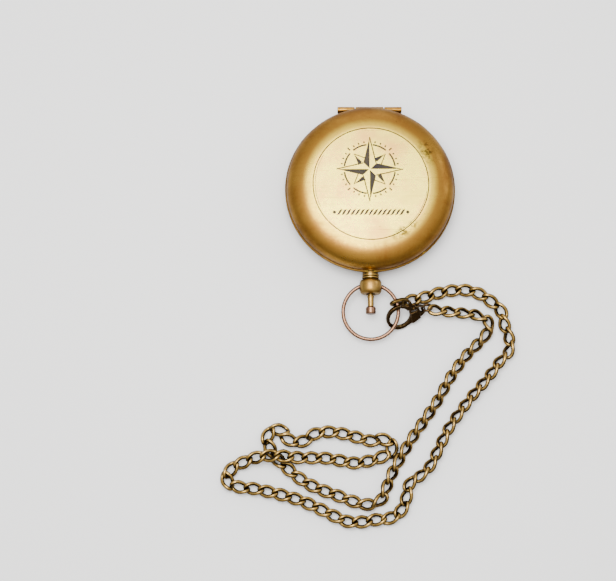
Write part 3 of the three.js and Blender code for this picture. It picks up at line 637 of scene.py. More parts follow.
# Centre line from the bow's end link, in metres.
chainOutRoute = [
    (0.0126, -0.0330, 0.0021), (0.0162, -0.0320, 0.0017), (0.0214, -0.0305, 0.00155),
    (0.0271, -0.0298, 0.00155), (0.0316, -0.0306, 0.00155), (0.0363, -0.0336, 0.00155),
    (0.0394, -0.0372, 0.00155), (0.0398, -0.0414, 0.00155), (0.0416, -0.0464, 0.00155),
    (0.0382, -0.0514, 0.00155), (0.0345, -0.0563, 0.00155), (0.0304, -0.0610, 0.00155),
    (0.0264, -0.0661, 0.00155), (0.0228, -0.0712, 0.00155), (0.0189, -0.0788, 0.00155),
    (0.0162, -0.0836, 0.00155), (0.0112, -0.0874, 0.00155), (0.0099, -0.0920, 0.00155),
    (0.0074, -0.0966, 0.00155), (0.0010, -0.0980, 0.00155), (-0.0064, -0.0986, 0.00155),
    (-0.0147, -0.0951, 0.00155), (-0.0206, -0.0925, 0.00155),
]
chainBackRoute = [
    (-0.0211, -0.0923, 0.00155), (-0.0275, -0.0905, 0.00155), (-0.0349, -0.0889, 0.00155),
    (-0.0402, -0.0881, 0.00155), (-0.0428, -0.0854, 0.00155), (-0.0401, -0.0828, 0.00155),
    (-0.0342, -0.0802, 0.0032), (-0.0282, -0.0796, 0.00485), (-0.0215, -0.0800, 0.0024),
    (-0.0124, -0.0802, 0.00155), (-0.0048, -0.0815, 0.00155), (0.0015, -0.0802, 0.00155),
    (0.0056, -0.0782, 0.00155), (0.0056, -0.0750, 0.00155), (-0.0002, -0.0750, 0.00155),
    (-0.0080, -0.0730, 0.00155), (-0.0153, -0.0725, 0.00155), (-0.0208, -0.0753, 0.00155),
    (-0.0248, -0.0744, 0.00155), (-0.0275, -0.0715, 0.00155), (-0.0306, -0.0740, 0.00155),
    (-0.0288, -0.0788, 0.00155), (-0.0232, -0.0843, 0.00155), (-0.0185, -0.0876, 0.00155),
    (-0.0095, -0.0912, 0.00155), (-0.0016, -0.0936, 0.00155), (0.0026, -0.0922, 0.00155),
    (0.0049, -0.0866, 0.00155), (0.0108, -0.0759, 0.00155), (0.0144, -0.0706, 0.00155),
    (0.0192, -0.0636, 0.00155), (0.0234, -0.0563, 0.00155), (0.0284, -0.0495, 0.00155),
    (0.0336, -0.0442, 0.00155), (0.0352, -0.0404, 0.00155), (0.0320, -0.0378, 0.00155),
    (0.0252, -0.0367, 0.0018), (0.0191, -0.0346, 0.0028),
]


def centreOf(node):
    low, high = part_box(node)
    return (low + high) / 2


def throughPoints(points, step):
    # A smooth line through the points, by the centripetal Catmull-Rom rule.
    line = []
    ends = [points[0] * 2 - points[1]] + points + [points[-1] * 2 - points[-2]]
    for a, b, c, d in zip(ends, ends[1:], ends[2:], ends[3:]):
        t1 = max((b - a).length, 1e-6) ** 0.5
        t2 = t1 + max((c - b).length, 1e-6) ** 0.5
        t3 = t2 + max((d - c).length, 1e-6) ** 0.5
        count = max(2, round((c - b).length / step))
        for index in range(count):
            t = t1 + (t2 - t1) * index / count
            ab = a * ((t1 - t) / t1) + b * (t / t1)
            bc = b * ((t2 - t) / (t2 - t1)) + c * ((t - t1) / (t2 - t1))
            cd = c * ((t3 - t) / (t3 - t2)) + d * ((t - t2) / (t3 - t2))
            abc = ab * ((t2 - t) / t2) + bc * (t / t2)
            bcd = bc * ((t3 - t) / (t3 - t1)) + cd * ((t - t1) / (t3 - t1))
            line.append(abc * ((t2 - t) / (t2 - t1)) + bcd * ((t - t1) / (t2 - t1)))
    return line + [points[-1]]


def between(stops, at):
    for (start, first), (end, second) in zip(stops, stops[1:]):
        if at <= end:
            return first + (second - first) * max(0.0, at - start) / (end - start)
    return stops[-1][1]


def makeCurbChain():
    # A link is a closed wire whose width turns from one end to the other, so that each nests in the next.
    tree, given, out = newGroup("curbChain", "GeometryNodeTree", [
        ("Path", "NodeSocketGeometry", None),
        ("Links", "NodeSocketInt", 10),
        ("Half Length", "NodeSocketFloat", 0.0026),
        ("Half Width", "NodeSocketFloat", 0.0015),
        ("Wire Radius", "NodeSocketFloat", 0.0005),
        ("Twist", "NodeSocketFloat", 1.5708),
        ("Link Steps", "NodeSocketInt", 26),
        ("Wire Sides", "NodeSocketInt", 10),
        ("Finish", "NodeSocketMaterial", None),
    ], [("Chain", "NodeSocketGeometry")])
    circle = addNode(tree, "GeometryNodeCurvePrimitiveCircle", {
        "Resolution": given["Link Steps"], "Radius": 1.0})
    position = addNode(tree, "GeometryNodeInputPosition").outputs[0]
    spot = addNode(tree, "ShaderNodeSeparateXYZ", {0: position}).outputs
    halfTwist = calc(tree, "MULTIPLY", given["Twist"], 0.5)
    angle = calc(tree, "MULTIPLY", spot[0], halfTwist)
    width = calc(tree, "MULTIPLY", spot[1], given["Half Width"])
    place = addNode(tree, "ShaderNodeCombineXYZ", {
        0: calc(tree, "MULTIPLY", spot[0], given["Half Length"]),
        1: calc(tree, "MULTIPLY", width, calc(tree, "COSINE", angle)),
        2: calc(tree, "MULTIPLY", width, calc(tree, "SINE", angle)),
    }).outputs[0]
    link = addNode(tree, "GeometryNodeSetPosition", {"Geometry": circle.outputs[0], "Position": place})
    section = addNode(tree, "GeometryNodeCurvePrimitiveCircle", {
        "Resolution": given["Wire Sides"], "Radius": given["Wire Radius"]})
    wire = addNode(tree, "GeometryNodeCurveToMesh", {
        "Curve": link.outputs[0], "Profile Curve": section.outputs[0]})

    # high on the flat faces and outer edge of a link where it is worn, low inside it and on the wire's
    # sides, which are patina and painted shade
    normal = addNode(tree, "GeometryNodeInputNormal").outputs[0]
    fromMiddle = addNode(tree, "ShaderNodeVectorMath", {0: position, 1: (chain["endwise"], 1.0, 0.0)},
                         operation="MULTIPLY")
    outward = addNode(tree, "ShaderNodeVectorMath", {0: fromMiddle.outputs[0]}, operation="NORMALIZE")
    facing = addNode(tree, "ShaderNodeVectorMath", {0: outward.outputs[0], 1: normal},
                     operation="DOT_PRODUCT")
    flat = calc(tree, "ABSOLUTE", addNode(tree, "ShaderNodeSeparateXYZ", {0: normal}).outputs[2])
    outer = calc(tree, "MULTIPLY", facing.outputs["Value"], chain["outerShare"])
    wearAndSheen = calc(tree, "ADD", calc(tree, "MULTIPLY", flat, chain["flatShare"]), outer)
    marked = addNode(tree, "GeometryNodeStoreNamedAttribute", {
        "Geometry": wire.outputs[0], "Name": "wearAndSheen", "Value": ramp(tree, wearAndSheen, *chain["wearAndSheen"])},
        data_type="FLOAT", domain="POINT")

    curve = addNode(tree, "GeometryNodeMeshToCurve", {"Mesh": given["Path"]})
    spaced = addNode(tree, "GeometryNodeResampleCurve", {
        "Curve": curve.outputs[0], "Count": given["Links"]})
    tangent = addNode(tree, "GeometryNodeInputTangent").outputs[0]
    roll = addNode(tree, "GeometryNodeInputNamedAttribute", {"Name": "roll"}, data_type="FLOAT").outputs[0]
    along = addNode(tree, "FunctionNodeAxesToRotation", {0: tangent, 1: (0.0, 0.0, 1.0)},
                    primary_axis="X", secondary_axis="Z")
    turn = addNode(tree, "FunctionNodeAxisAngleToRotation", {"Axis": (1.0, 0.0, 0.0), "Angle": roll})
    rolled = addNode(tree, "FunctionNodeRotateRotation", {0: along.outputs[0], 1: turn.outputs[0]},
                     rotation_space="LOCAL")
    links = addNode(tree, "GeometryNodeInstanceOnPoints", {
        "Points": spaced.outputs[0], "Instance": marked.outputs[0], "Rotation": rolled.outputs[0]})
    solid = addNode(tree, "GeometryNodeRealizeInstances", {0: links.outputs[0]})
    smooth = addNode(tree, "GeometryNodeSetShadeSmooth", {0: solid.outputs[0]})
    finished = addNode(tree, "GeometryNodeSetMaterial", {0: smooth.outputs[0], "Material": given["Finish"]})
    tree.links.new(finished.outputs[0], out[0])
    return tree


curbChain = makeCurbChain()


def linkRow(name, line, distances, first, last, pitch):
    # The links numbered first to last, counted from the bow's end link.
    points = []
    rolls = []
    steps = (last - first) * 8
    for index in range(steps + 1):
        at = (first + (last - first) * index / steps) * pitch
        spot = next(i for i, d in enumerate(distances) if d >= at or i == len(distances) - 1)
        back = max(spot - 1, 0)
        share = (at - distances[back]) / max(distances[spot] - distances[back], 1e-9)
        points.append(line[back].lerp(line[spot], min(max(share, 0.0), 1.0)))
        rolls.append(math.radians(between(chain["rolls"], at)))
    mesh = bpy.data.meshes.new(name)
    mesh.from_pydata(points, [(i, i + 1) for i in range(steps)], [])
    mesh.attributes.new("roll", "FLOAT", "POINT").data.foreach_set("value", rolls)
    obj = newObject(name, mesh, "chain")
    applyTree(obj, curbChain, {
        "Links": last - first + 1,
        "Half Length": (chain["linkLength"] - chain["wire"]) / 2,
        "Half Width": (chain["linkWidth"] - chain["wire"]) / 2,
        "Wire Radius": chain["wire"] / 2,
        "Twist": math.radians(chain["twist"]),
        "Link Steps": chain["linkSteps"],
        "Wire Sides": chain["wireSides"],
        "Finish": finishes["chain"],
    })
    return obj, points


def makeChain():
    endLink = centreOf("chain_end_link")
    eyeLow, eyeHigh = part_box("clasp_eye")
    route = [Vector(p) for p in chainOutRoute + chainBackRoute[1:-1]]
    settled = []
    for point in route:
        level = chain["flatLevel"] + (point.z - chain["floorLevel"]) * chain["crossingDrop"]
        settled.append(Vector((point.x, point.y, level)))
    eye = (eyeLow + eyeHigh) / 2
    lastLink = eye + Vector(claspPlace["pull"]).normalized() * claspPlace["slack"]
    line = throughPoints([endLink] + settled + [lastLink], 0.0005)
    distances = [0.0]
    for a, b in zip(line, line[1:]):
        distances.append(distances[-1] + (b - a).length)
    for index, at in enumerate(distances):
        lift = chain["tiltRise"] * between(chain["rolls"], at) / 45
        fade = min(1.0, at / 0.012, (distances[-1] - at) / 0.012)
        line[index].z += lift * fade
    count = round(distances[-1] / chain["pitch"])
    pitch = distances[-1] / count
    split = round(chain["outLength"] / pitch)
    out, outLine = linkRow("chainOut", line, distances, 1, split, pitch)
    back, backLine = linkRow("chainBack", line, distances, split + 1, count, pitch)
    print("chain:", count, "links, pitch", round(pitch / mm, 3), "mm, length",
          round(distances[-1] / mm, 1), "mm")
    for obj, node in ((out, "chain_out"), (back, "chain_back")):
        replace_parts(obj, node)
    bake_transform(out)
    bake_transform(back)
    return (out, outLine), (back, backLine)


claspPlace = {
    "pull": (0.97, -0.24, -0.08),  # the way the chain leaves the clasp's eye
    "slack": 3.17 * mm,  # from the eye's middle to the middle of the link in it
}


(chainOut, outLine), (chainBack, backLine) = makeChain()
print("chain made")


caseSizes = {
    "footRadius": 16.5,
    "rimLip": 0.5,
    "lipHeight": 1.0,
    "wall": 1.0,
    "panelRadius": 17.25,
    "groove": 0.3,
    "grooveDepth": 0.2,
    "lidBand": 1.0,
    "sides": 240,
}
baseLow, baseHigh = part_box("case_base")
lidLow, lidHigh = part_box("case_lid")
caseRadius = (lidHigh.x - lidLow.x) / 2 / mm
rimTop = baseHigh.z / mm
lidBottom = lidLow.z / mm
lidTop = lidHigh.z / mm
hingeAxis = (0.0, 24.9, (rimTop + lidBottom) / 2)
pendantZ = centreOf("plunger_stem").z / mm


def hingeChannel():
    low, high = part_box("base_hinge_leaf")
    half = (high.x - low.x) / 2 / mm + 0.3
    return turnedMesh("channel", [(0, -half), (1.15, -half), (1.15, half), (0, half)], 48, "x", hingeAxis)


def makeBase():
    sizes = caseSizes
    inner = caseRadius - sizes["wall"]
    bowl = rimTop - sizes["lipHeight"]
    rim = caseRadius + sizes["rimLip"]
    outside = ellipseArc(sizes["footRadius"], bowl, caseRadius - sizes["footRadius"], bowl, -90, 0, 22)
    foot, wall = sizes["footRadius"], sizes["wall"]
    inside = ellipseArc(foot, bowl, inner - foot, bowl - wall, 0, -90, 20)
    corners = [(0, 0)] + outside[:-1]
    corners += [(caseRadius, bowl, 0.08), (rim, bowl + 0.18, 0.28), (rim, rimTop, 0.3)]
    corners += [(inner, rimTop, 0.12)]
    corners += inside + [(0, sizes["wall"])]
    mesh = turnedMesh("caseBase", eased(corners), sizes["sides"])
    obj = newObject("caseBase", mesh, "base")
    neckSeat = [(0, -30), (2.45, -30), (2.45, -24.4), (0, -24.4)]
    stemHole = [(0, -26), (1.15, -26), (1.15, -20), (0, -20)]
    at = (0, 0, pendantZ)
    seat = turnedMesh("seat", neckSeat, 64, "y", at)
    cutAway(obj, hingeChannel(), seat, turnedMesh("hole", stemHole, 48, "y", at))
    smoothShade(obj, 30)
    return obj


star = {
    "centre": (-0.3, 4.4),
    "longPoint": 9.9,
    "shortPoint": 6.6,
    "waist": 2.7,  # radius where the long points meet
    "line": 0.42,
    "ring": 7.3,
    "ringWidth": 0.5,
    "depth": 0.16,
    "tickInner": 8.15,
    "tickOuter": 8.75,
}
# Stray lines from turning the circle: radius, first and last degree
scribedArcs = ((16.42, 148, 206), (16.62, 302, 352))
# A rope border of slanting strands below the star
rope = {"y": -8.8, "half": 9.9, "strands": 15, "height": 2.1, "width": 0.72, "slant": 0.95, "bead": 0.5}


def polar(radius, degrees, centre=(0, 0)):
    t = math.radians(degrees)
    return (centre[0] + radius * math.cos(t), centre[1] + radius * math.sin(t))


def bar(a, b, width):
    # Four corners of a narrow strip from a to b.
    a, b = Vector(a), Vector(b)
    across = Vector((a.y - b.y, b.x - a.x)).normalized() * width / 2
    return [tuple(a + across), tuple(a - across), tuple(b - across), tuple(b + across)]


def shrunk(outline, inset):
    # A triangle drawn in towards its middle, so that neighbours keep a thin land between them.
    middle = sum((Vector(p) for p in outline), Vector((0, 0))) / len(outline)
    reach = min((Vector(p) - middle).length for p in outline)
    return [tuple(middle + (Vector(p) - middle) * (1 - inset / reach)) for p in outline]


def engravings():
    # Outlines of everything cut into the panel.
    shapes = []
    centre = star["centre"]
    line = star["line"]
    for turn in range(4):
        tip = polar(star["longPoint"], 90 * turn, centre)
        left = polar(star["waist"], 90 * turn + 45, centre)
        right = polar(star["waist"], 90 * turn - 45, centre)
        shapes.append(shrunk([centre, tip, left], 0.12))
        shapes.append(bar(tip, right, line * 0.8))
        diagonal = 90 * turn + 45
        tip = polar(star["shortPoint"], diagonal, centre)
        start = polar(star["waist"] + 0.4, diagonal, centre)
        left = polar(star["waist"] + 0.75, diagonal + 27, centre)
        right = polar(star["waist"] + 0.75, diagonal - 27, centre)
        shapes.append(shrunk([start, tip, left], 0.10))
        shapes.append(bar(tip, right, line * 0.7))
        for low in (90 * turn + 7, 90 * turn + 50):
            # ring arcs that leave room for the points
            turns = [low + 33 * step / 10 for step in range(11)]
            inner = [polar(star["ring"], t, centre) for t in turns]
            outer = [polar(star["ring"] + star["ringWidth"], t, centre) for t in turns]
            shapes.append(inner + outer[::-1])
    for tick in range(32):
        degrees = tick * 11.25
        if tick % 8:
            reach = star["tickOuter"] + (0.5 if tick % 4 == 0 else 0.0)
            inner = polar(star["tickInner"], degrees, centre)
            shapes.append(bar(inner, polar(reach, degrees, centre), line))
    for radius, first, last in scribedArcs:
        turns = [first + (last - first) * step / 36 for step in range(37)]
        inner = [polar(radius, t) for t in turns]
        shapes.append(inner + [polar(radius + 0.13, t) for t in turns[::-1]])
    half, rise, slant = rope["width"] / 2, rope["height"] / 2, rope["slant"]
    for strand in range(rope["strands"]):
        x = -rope["half"] + 2 * rope["half"] * (strand + 0.5) / rope["strands"]
        y = rope["y"]
        # a leaf that leans over, thick in its middle
        shapes.append([
            (x - slant, y - rise), (x - half * 0.1, y - rise * 0.62), (x + half, y), (x + slant, y + rise),
            (x + half * 0.1, y + rise * 0.62), (x - half, y)])
    for side in (-1, 1):
        middle = (side * (rope["half"] + 0.9), rope["y"])
        shapes.append([polar(rope["bead"], 30 * step, middle) for step in range(12)])
    return shapes


def makeLid():
    sizes = caseSizes
    inner = caseRadius - sizes["wall"]
    shoulder = lidBottom + sizes["lidBand"]
    panel = sizes["panelRadius"]
    groove = sizes["groove"]
    corners = [(inner, lidBottom, 0.08), (caseRadius, lidBottom, 0.18)]
    corners += ellipseArc(panel, shoulder, caseRadius - panel, lidTop - shoulder, 0, 90, 26)
    floor = lidTop - sizes["grooveDepth"]
    corners += [(panel - groove * 0.35, floor), (panel - groove * 0.65, floor), (panel - groove, lidTop)]
    corners += [(0, lidTop), (0, lidTop - sizes["wall"])]
    corners += ellipseArc(panel, shoulder, inner - panel, lidTop - shoulder - sizes["wall"], 90, 0, 20)
    obj = newObject("caseLid", turnedMesh("caseLid", eased(corners), sizes["sides"]), "lid")
    slotLow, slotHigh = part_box("lid_hinge_leaf")
    work = bmesh.new()
    half = (slotHigh.x - slotLow.x) / 2 / mm
    slotShape = [(-half, 23.95), (half, 23.95), (half, 27), (-half, 27)]
    prism(work, slotShape, hingeAxis[2] + 0.3, slotHigh.z / mm + 0.15)
    tongueSlot = finishTool(work)
    work = bmesh.new()
    for outline in engravings():
        prism(work, outline, lidTop - star["depth"], lidTop + 1)
    cutAway(obj, hingeChannel(), tongueSlot)
    cutAway(obj, finishTool(work), crossing=True)
    smoothShade(obj, 28)
    markEngraved(obj)
    return obj


def finishTool(work):
    bmesh.ops.recalc_face_normals(work, faces=work.faces)
    bmesh.ops.scale(work, verts=work.verts, vec=(mm, mm, mm))
    mesh = bpy.data.meshes.new("tool")
    work.to_mesh(mesh)
    work.free()
    return mesh


def markEngraved(obj):
    # Paints every face that lies below the panel and inside its groove.
    mesh = obj.data
    layer = mesh.color_attributes.new("engraved", "FLOAT_COLOR", "CORNER")
    panel = caseSizes["panelRadius"] * mm
    for face in mesh.polygons:
        middle = face.center
        across = math.hypot(middle.x, middle.y)
        sunk = (lidTop - 0.4) * mm < middle.z < (lidTop - 0.005) * mm
        value = 1.0 if sunk and across < panel else 0.0
        for corner in face.loop_indices:
            layer.data[corner].color = (value, value, value, 1)


caseBase = makeBase()
caseLid = makeLid()
for piece, node, body in ((caseBase, "case_base", "case"), (caseLid, "case_lid", "lid")):
    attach(piece, body)
    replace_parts(piece, node)
softened("hingeLeafBase", "base_hinge_leaf", "case", "case", 0.07, 3)
softened("hingeLeafLid", "lid_hinge_leaf", "lid", "lid", 0.07, 3)
print("case made")


filed("catchHook", "catch_hook", "steel", "plunger", 0.08)
filed("lidStriker", "lid_striker", "case", "lid", 0.1)
filed("liftSpring", "lift_spring", "steel", "case", 0.06)
print("catch made")


compass = {
    "cupWall": 0.8,
    "cupFoot": 17.0,
    "needleLength": 31.0,
    "needleHalfWidth": 3.2,
    "ridge": 0.12,
    "ticks": 120,
    "printHeight": 0.02,
}


def makeCompass():
    cupLow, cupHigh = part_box("compass_cup")
    cardLow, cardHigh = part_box("dial_card")
    ringLow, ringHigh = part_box("chapter_ring")
    glassLow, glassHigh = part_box("crystal")
    bezelLow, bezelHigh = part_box("bezel_ring")
    outer = cupHigh.x / mm
    inner = outer - compass["cupWall"]
    bottom, top = cupLow.z / mm, cupHigh.z / mm
    cardZ = cardLow.z / mm
    cup = eased([
        (0, bottom), (compass["cupFoot"], bottom, 0.3), (outer, bottom + 1.05, 0.4), (outer, top, 0.12),
        (inner, top, 0.1), (inner, cardZ - 0.1), (inner - 1.4, cardZ - 0.1, 0.1),
        (inner - 2.2, bottom + 0.5, 0.1), (0, bottom + 0.5)])
    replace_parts(turnedPiece("compassCup", cup, "case", "case", 160), "compass_cup")
    cardR = cardHigh.x / mm
    cardTop = cardHigh.z / mm
    card = eased([
        (0.8, cardZ), (cardR, cardZ), (cardR, cardTop, 0.05), (cardR - 0.3, cardTop), (1.1, cardTop),
        (0.8, cardTop, 0.05)])
    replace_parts(turnedPiece("dialCard", card, "enamel", "case", 160), "dial_card")
    ringR, ringBottom, ringTop = ringHigh.x / mm, ringLow.z / mm, ringHigh.z / mm
    ring = eased([
        (ringR - 1.1, ringBottom), (ringR, ringBottom), (ringR, ringTop), (ringR - 0.55, ringTop, 0.1),
        (ringR - 1.1, ringTop - 0.6, 0.1)])
    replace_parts(turnedPiece("chapterRing", ring, "pendant", "case", 160), "chapter_ring")
    glassR, glassBottom, glassTop = glassHigh.x / mm, glassLow.z / mm, glassHigh.z / mm
    glass = eased([
        (0, glassBottom), (glassR - 0.5, glassBottom), (glassR, glassBottom, 0.1), (glassR, glassTop, 0.15),
        (glassR - 0.5, glassTop), (0, glassTop)])
    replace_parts(turnedPiece("crystal", glass, "crystal", "case", 160), "crystal")
    bezelR, bezelBottom, bezelTop = bezelHigh.x / mm, bezelLow.z / mm, bezelHigh.z / mm
    bezelInner = ringR - 1.1
    bezel = eased([
        (bezelInner, bezelBottom, 0.05), (bezelR, bezelBottom, 0.08), (bezelR, bezelTop, 0.2),
        (bezelInner + 0.55, bezelTop, 0.15), (bezelInner, bezelBottom + 0.18, 0.05)])
    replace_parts(turnedPiece("bezelRing", bezel, "pendant", "case", 160), "bezel_ring")
    return cardTop, bezelInner


def makeDialTicks():
    # Ticks round a circle: every long one stands on a multiple of the short ones.
    tree, given, out = newGroup("dialTicks", "GeometryNodeTree", [
        ("Mesh", "NodeSocketGeometry", None),
        ("Count", "NodeSocketInt", 120),
        ("Radius", "NodeSocketFloat", 0.016),
        ("Long", "NodeSocketFloat", 0.0015),
        ("Short", "NodeSocketFloat", 0.0008),
        ("Width", "NodeSocketFloat", 0.00016),
        ("Height", "NodeSocketFloat", 0.00002),
        ("Level", "NodeSocketFloat", 0.003),
        ("Every", "NodeSocketInt", 10),
        ("Finish", "NodeSocketMaterial", None),
    ], [("Ticks", "NodeSocketGeometry")])
    circle = addNode(tree, "GeometryNodeMeshCircle", {
        "Vertices": given["Count"], "Radius": given["Radius"]})
    index = addNode(tree, "GeometryNodeInputIndex").outputs[0]
    rest = calc(tree, "MODULO", index, given["Every"])
    isLong = calc(tree, "LESS_THAN", rest, 0.5)
    extra = calc(tree, "MULTIPLY", isLong, calc(tree, "SUBTRACT", given["Long"], given["Short"]))
    length = calc(tree, "ADD", given["Short"], extra)
    gain = calc(tree, "ADD", calc(tree, "MULTIPLY", isLong, 0.9), 1.0)
    wide = calc(tree, "MULTIPLY", given["Width"], gain)
    spot = addNode(tree, "GeometryNodeInputPosition").outputs[0]
    inward = addNode(tree, "ShaderNodeVectorMath", {0: spot}, operation="NORMALIZE").outputs[0]
    facing = addNode(tree, "FunctionNodeAxesToRotation", {0: inward, 1: (0.0, 0.0, 1.0)},
                     primary_axis="X", secondary_axis="Z")
    cube = addNode(tree, "GeometryNodeMeshCube", {"Size": (1.0, 1.0, 1.0)})
    moved = addNode(tree, "GeometryNodeTransform", {
        "Geometry": cube.outputs[0], "Translation": (-0.5, 0.0, 0.5)})
    size = addNode(tree, "ShaderNodeCombineXYZ", {0: length, 1: wide, 2: given["Height"]}).outputs[0]
    ticks = addNode(tree, "GeometryNodeInstanceOnPoints", {
        "Points": circle.outputs[0], "Instance": moved.outputs[0], "Rotation": facing.outputs[0],
        "Scale": size})
    solid = addNode(tree, "GeometryNodeRealizeInstances", {0: ticks.outputs[0]})
    lift = addNode(tree, "ShaderNodeCombineXYZ", {2: given["Level"]}).outputs[0]
    raised = addNode(tree, "GeometryNodeTransform", {"Geometry": solid.outputs[0], "Translation": lift})
    finished = addNode(tree, "GeometryNodeSetMaterial", {0: raised.outputs[0], "Material": given["Finish"]})
    tree.links.new(finished.outputs[0], out[0])
    return tree


def makeDialPrint(cardTop, openRadius):
    obj = newObject("dialTicks", bpy.data.meshes.new("dialTicks"), "ink")
    applyTree(obj, makeDialTicks(), {
        "Count": compass["ticks"], "Radius": (openRadius - 0.4) * mm, "Long": 1.7 * mm, "Short": 0.9 * mm,
        "Width": 0.26 * mm, "Height": compass["printHeight"] * mm, "Level": cardTop * mm, "Every": 10,
        "Finish": finishes["ink"]})
    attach(obj, "case")
    low, high = cardTop, cardTop + compass["printHeight"]
    for name, radius in (("dialRingOuter", openRadius - 0.3), ("dialRingInner", 11.2)):
        line = [(radius - 0.28, low), (radius, low), (radius, high), (radius - 0.28, high)]
        turnedPiece(name, line, "ink", "case", 160)
    work = bmesh.new()
    for turn in range(8):
        # a plain eight-pointed star round the post
        reach, waist = (10.4, 2.6) if turn % 2 == 0 else (7.4, 2.6)
        tip = polar(reach, 45 * turn + 90)
        side = polar(waist, 45 * turn + 90 + 22.5)
        prism(work, [polar(1.0, 45 * turn + 92), tip, side], low, high)
    bmesh.ops.recalc_face_normals(work, faces=work.faces)
    bmesh.ops.scale(work, verts=work.verts, vec=(mm, mm, mm))
    mesh = bpy.data.meshes.new("dialStar")
    work.to_mesh(mesh)
    work.free()
    newObject("dialStar", mesh, "ink", "case")
    for letter, degrees in (("N", 90), ("E", 0), ("S", 270), ("W", 180)):
        writing = bpy.data.curves.new("letter" + letter, "FONT")
        writing.body = letter
        writing.size = 3.6
        writing.align_x = "CENTER"
        writing.align_y = "CENTER"
        writing.extrude = compass["printHeight"] / 2
        writing.offset = 0.09
        writer = bpy.data.objects.new("writer", writing)
        bpy.context.collection.objects.link(writer)
        bpy.context.view_layer.update()
        mesh = bpy.data.meshes.new_from_object(writer)
        bpy.data.objects.remove(writer)
        x, y = polar(13.2, degrees)
        mesh.transform(Matrix.Translation((x * mm, y * mm, (low + high) / 2 * mm)) @ Matrix.Scale(mm, 4))
        newObject("dialLetter" + letter, mesh, "redInk" if letter == "N" else "ink", "case")


def makeNeedle():
    low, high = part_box("needle")
    bottom, top = low.z / mm, high.z / mm
    half, wide = compass["needleLength"] / 2, compass["needleHalfWidth"]
    for name, sign, finish in (("needleNorth", 1, "blued"), ("needleSouth", -1, "steel")):
        # each half is a blade with a low ridge down its middle
        work = bmesh.new()
        outline = [(-wide, 0.0), (0.0, 0.0), (wide, 0.0), (0.0, sign * half)]
        lower = [work.verts.new((x, y, bottom)) for x, y in outline]
        heights = [top - compass["ridge"], top, top - compass["ridge"], top - compass["ridge"] * 0.7]
        upper = [work.verts.new((x, y, z)) for (x, y), z in zip(outline, heights)]
        for a, b, c in ((0, 1, 3), (1, 2, 3)):
            work.faces.new((lower[a], lower[b], lower[c]))
            work.faces.new((upper[a], upper[b], upper[c]))
        for a, b in ((0, 1), (1, 2), (2, 3), (3, 0)):
            work.faces.new((lower[a], lower[b], upper[b], upper[a]))
        bmesh.ops.recalc_face_normals(work, faces=work.faces)
        bmesh.ops.scale(work, verts=work.verts, vec=(mm, mm, mm))
        mesh = bpy.data.meshes.new(name)
        work.to_mesh(mesh)
        work.free()
        obj = newObject(name, mesh, finish, "needle")
        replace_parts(obj, "needle")
    capLow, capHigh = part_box("needle_cap")
    radius, capTop = capHigh.x / mm, capHigh.z / mm
    cap = eased([
        (0, top), (radius, top), (radius, capTop - 0.25, 0.2), (0.35, capTop, 0.15), (0, capTop)], 6)
    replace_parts(turnedPiece("needleCap", cap, "pendant", "needle", 64), "needle_cap")


cardTop, openRadius = makeCompass()
makeDialPrint(cardTop, openRadius)
makeNeedle()
print("compass made")


pendant = {
    "neckRadius": 2.3,
    "ridge": 0.2,
    "ballRadius": 3.35,
    "stemRadius": 0.9,
    "buttonRadius": 1.5,
    "springBore": 1.65,
    "stemBore": 1.15,
}


def makePendant():
    at = (0, 0, pendantZ)
    neckLow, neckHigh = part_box("pendant_neck")
    start, end = neckHigh.y / mm, neckLow.y / mm
    r, bore = pendant["neckRadius"], pendant["springBore"]
    ridge = r + pendant["ridge"]
    profile = eased([
        (bore, start), (r, start, 0.05), (r, end + 1.35, 0.1), (ridge, end + 1.2, 0.1),
        (ridge, end + 0.82, 0.1), (r - 0.12, end + 0.68, 0.08), (r - 0.12, end + 0.60, 0.08),
        (ridge, end + 0.46, 0.1), (ridge, end + 0.08, 0.1), (r, end), (bore, end)])
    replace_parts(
        turnedPiece("pendantNeck", profile, "pendant", "case", 96, "y", at), "pendant_neck")

    ballLow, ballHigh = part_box("pendant_ball")
    start, end = ballHigh.y / mm, ballLow.y / mm
    length = start - end
    ball = [(bore, start), (r - 0.1, start)]
    for step in range(1, 24):
        t = step / 24
        bulge = (1 - abs(2 * t - 1) ** 2.6) ** (1 / 2.3)
        ball.append((r - 0.1 + (pendant["ballRadius"] - r + 0.1) * bulge, start - length * t))
    ball += [(r - 0.05, end), (pendant["stemBore"] + 0.25, end), (pendant["stemBore"], end + 0.25)]
    ball += [(pendant["stemBore"], end + 1.3), (bore, end + 1.3)]
    obj = newObject("pendantBall", turnedMesh("pendantBall", ball, 96, "y", at), "pendant")
    pinHole = [(0, -5), (0.85, -5), (0.85, 5), (0, 5)]
    cutAway(obj, turnedMesh("pinHole", pinHole, 32, "x", (0, (start + end) / 2, pendantZ)))
    smoothShade(obj, 40)
    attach(obj, "case")
    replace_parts(obj, "pendant_ball")


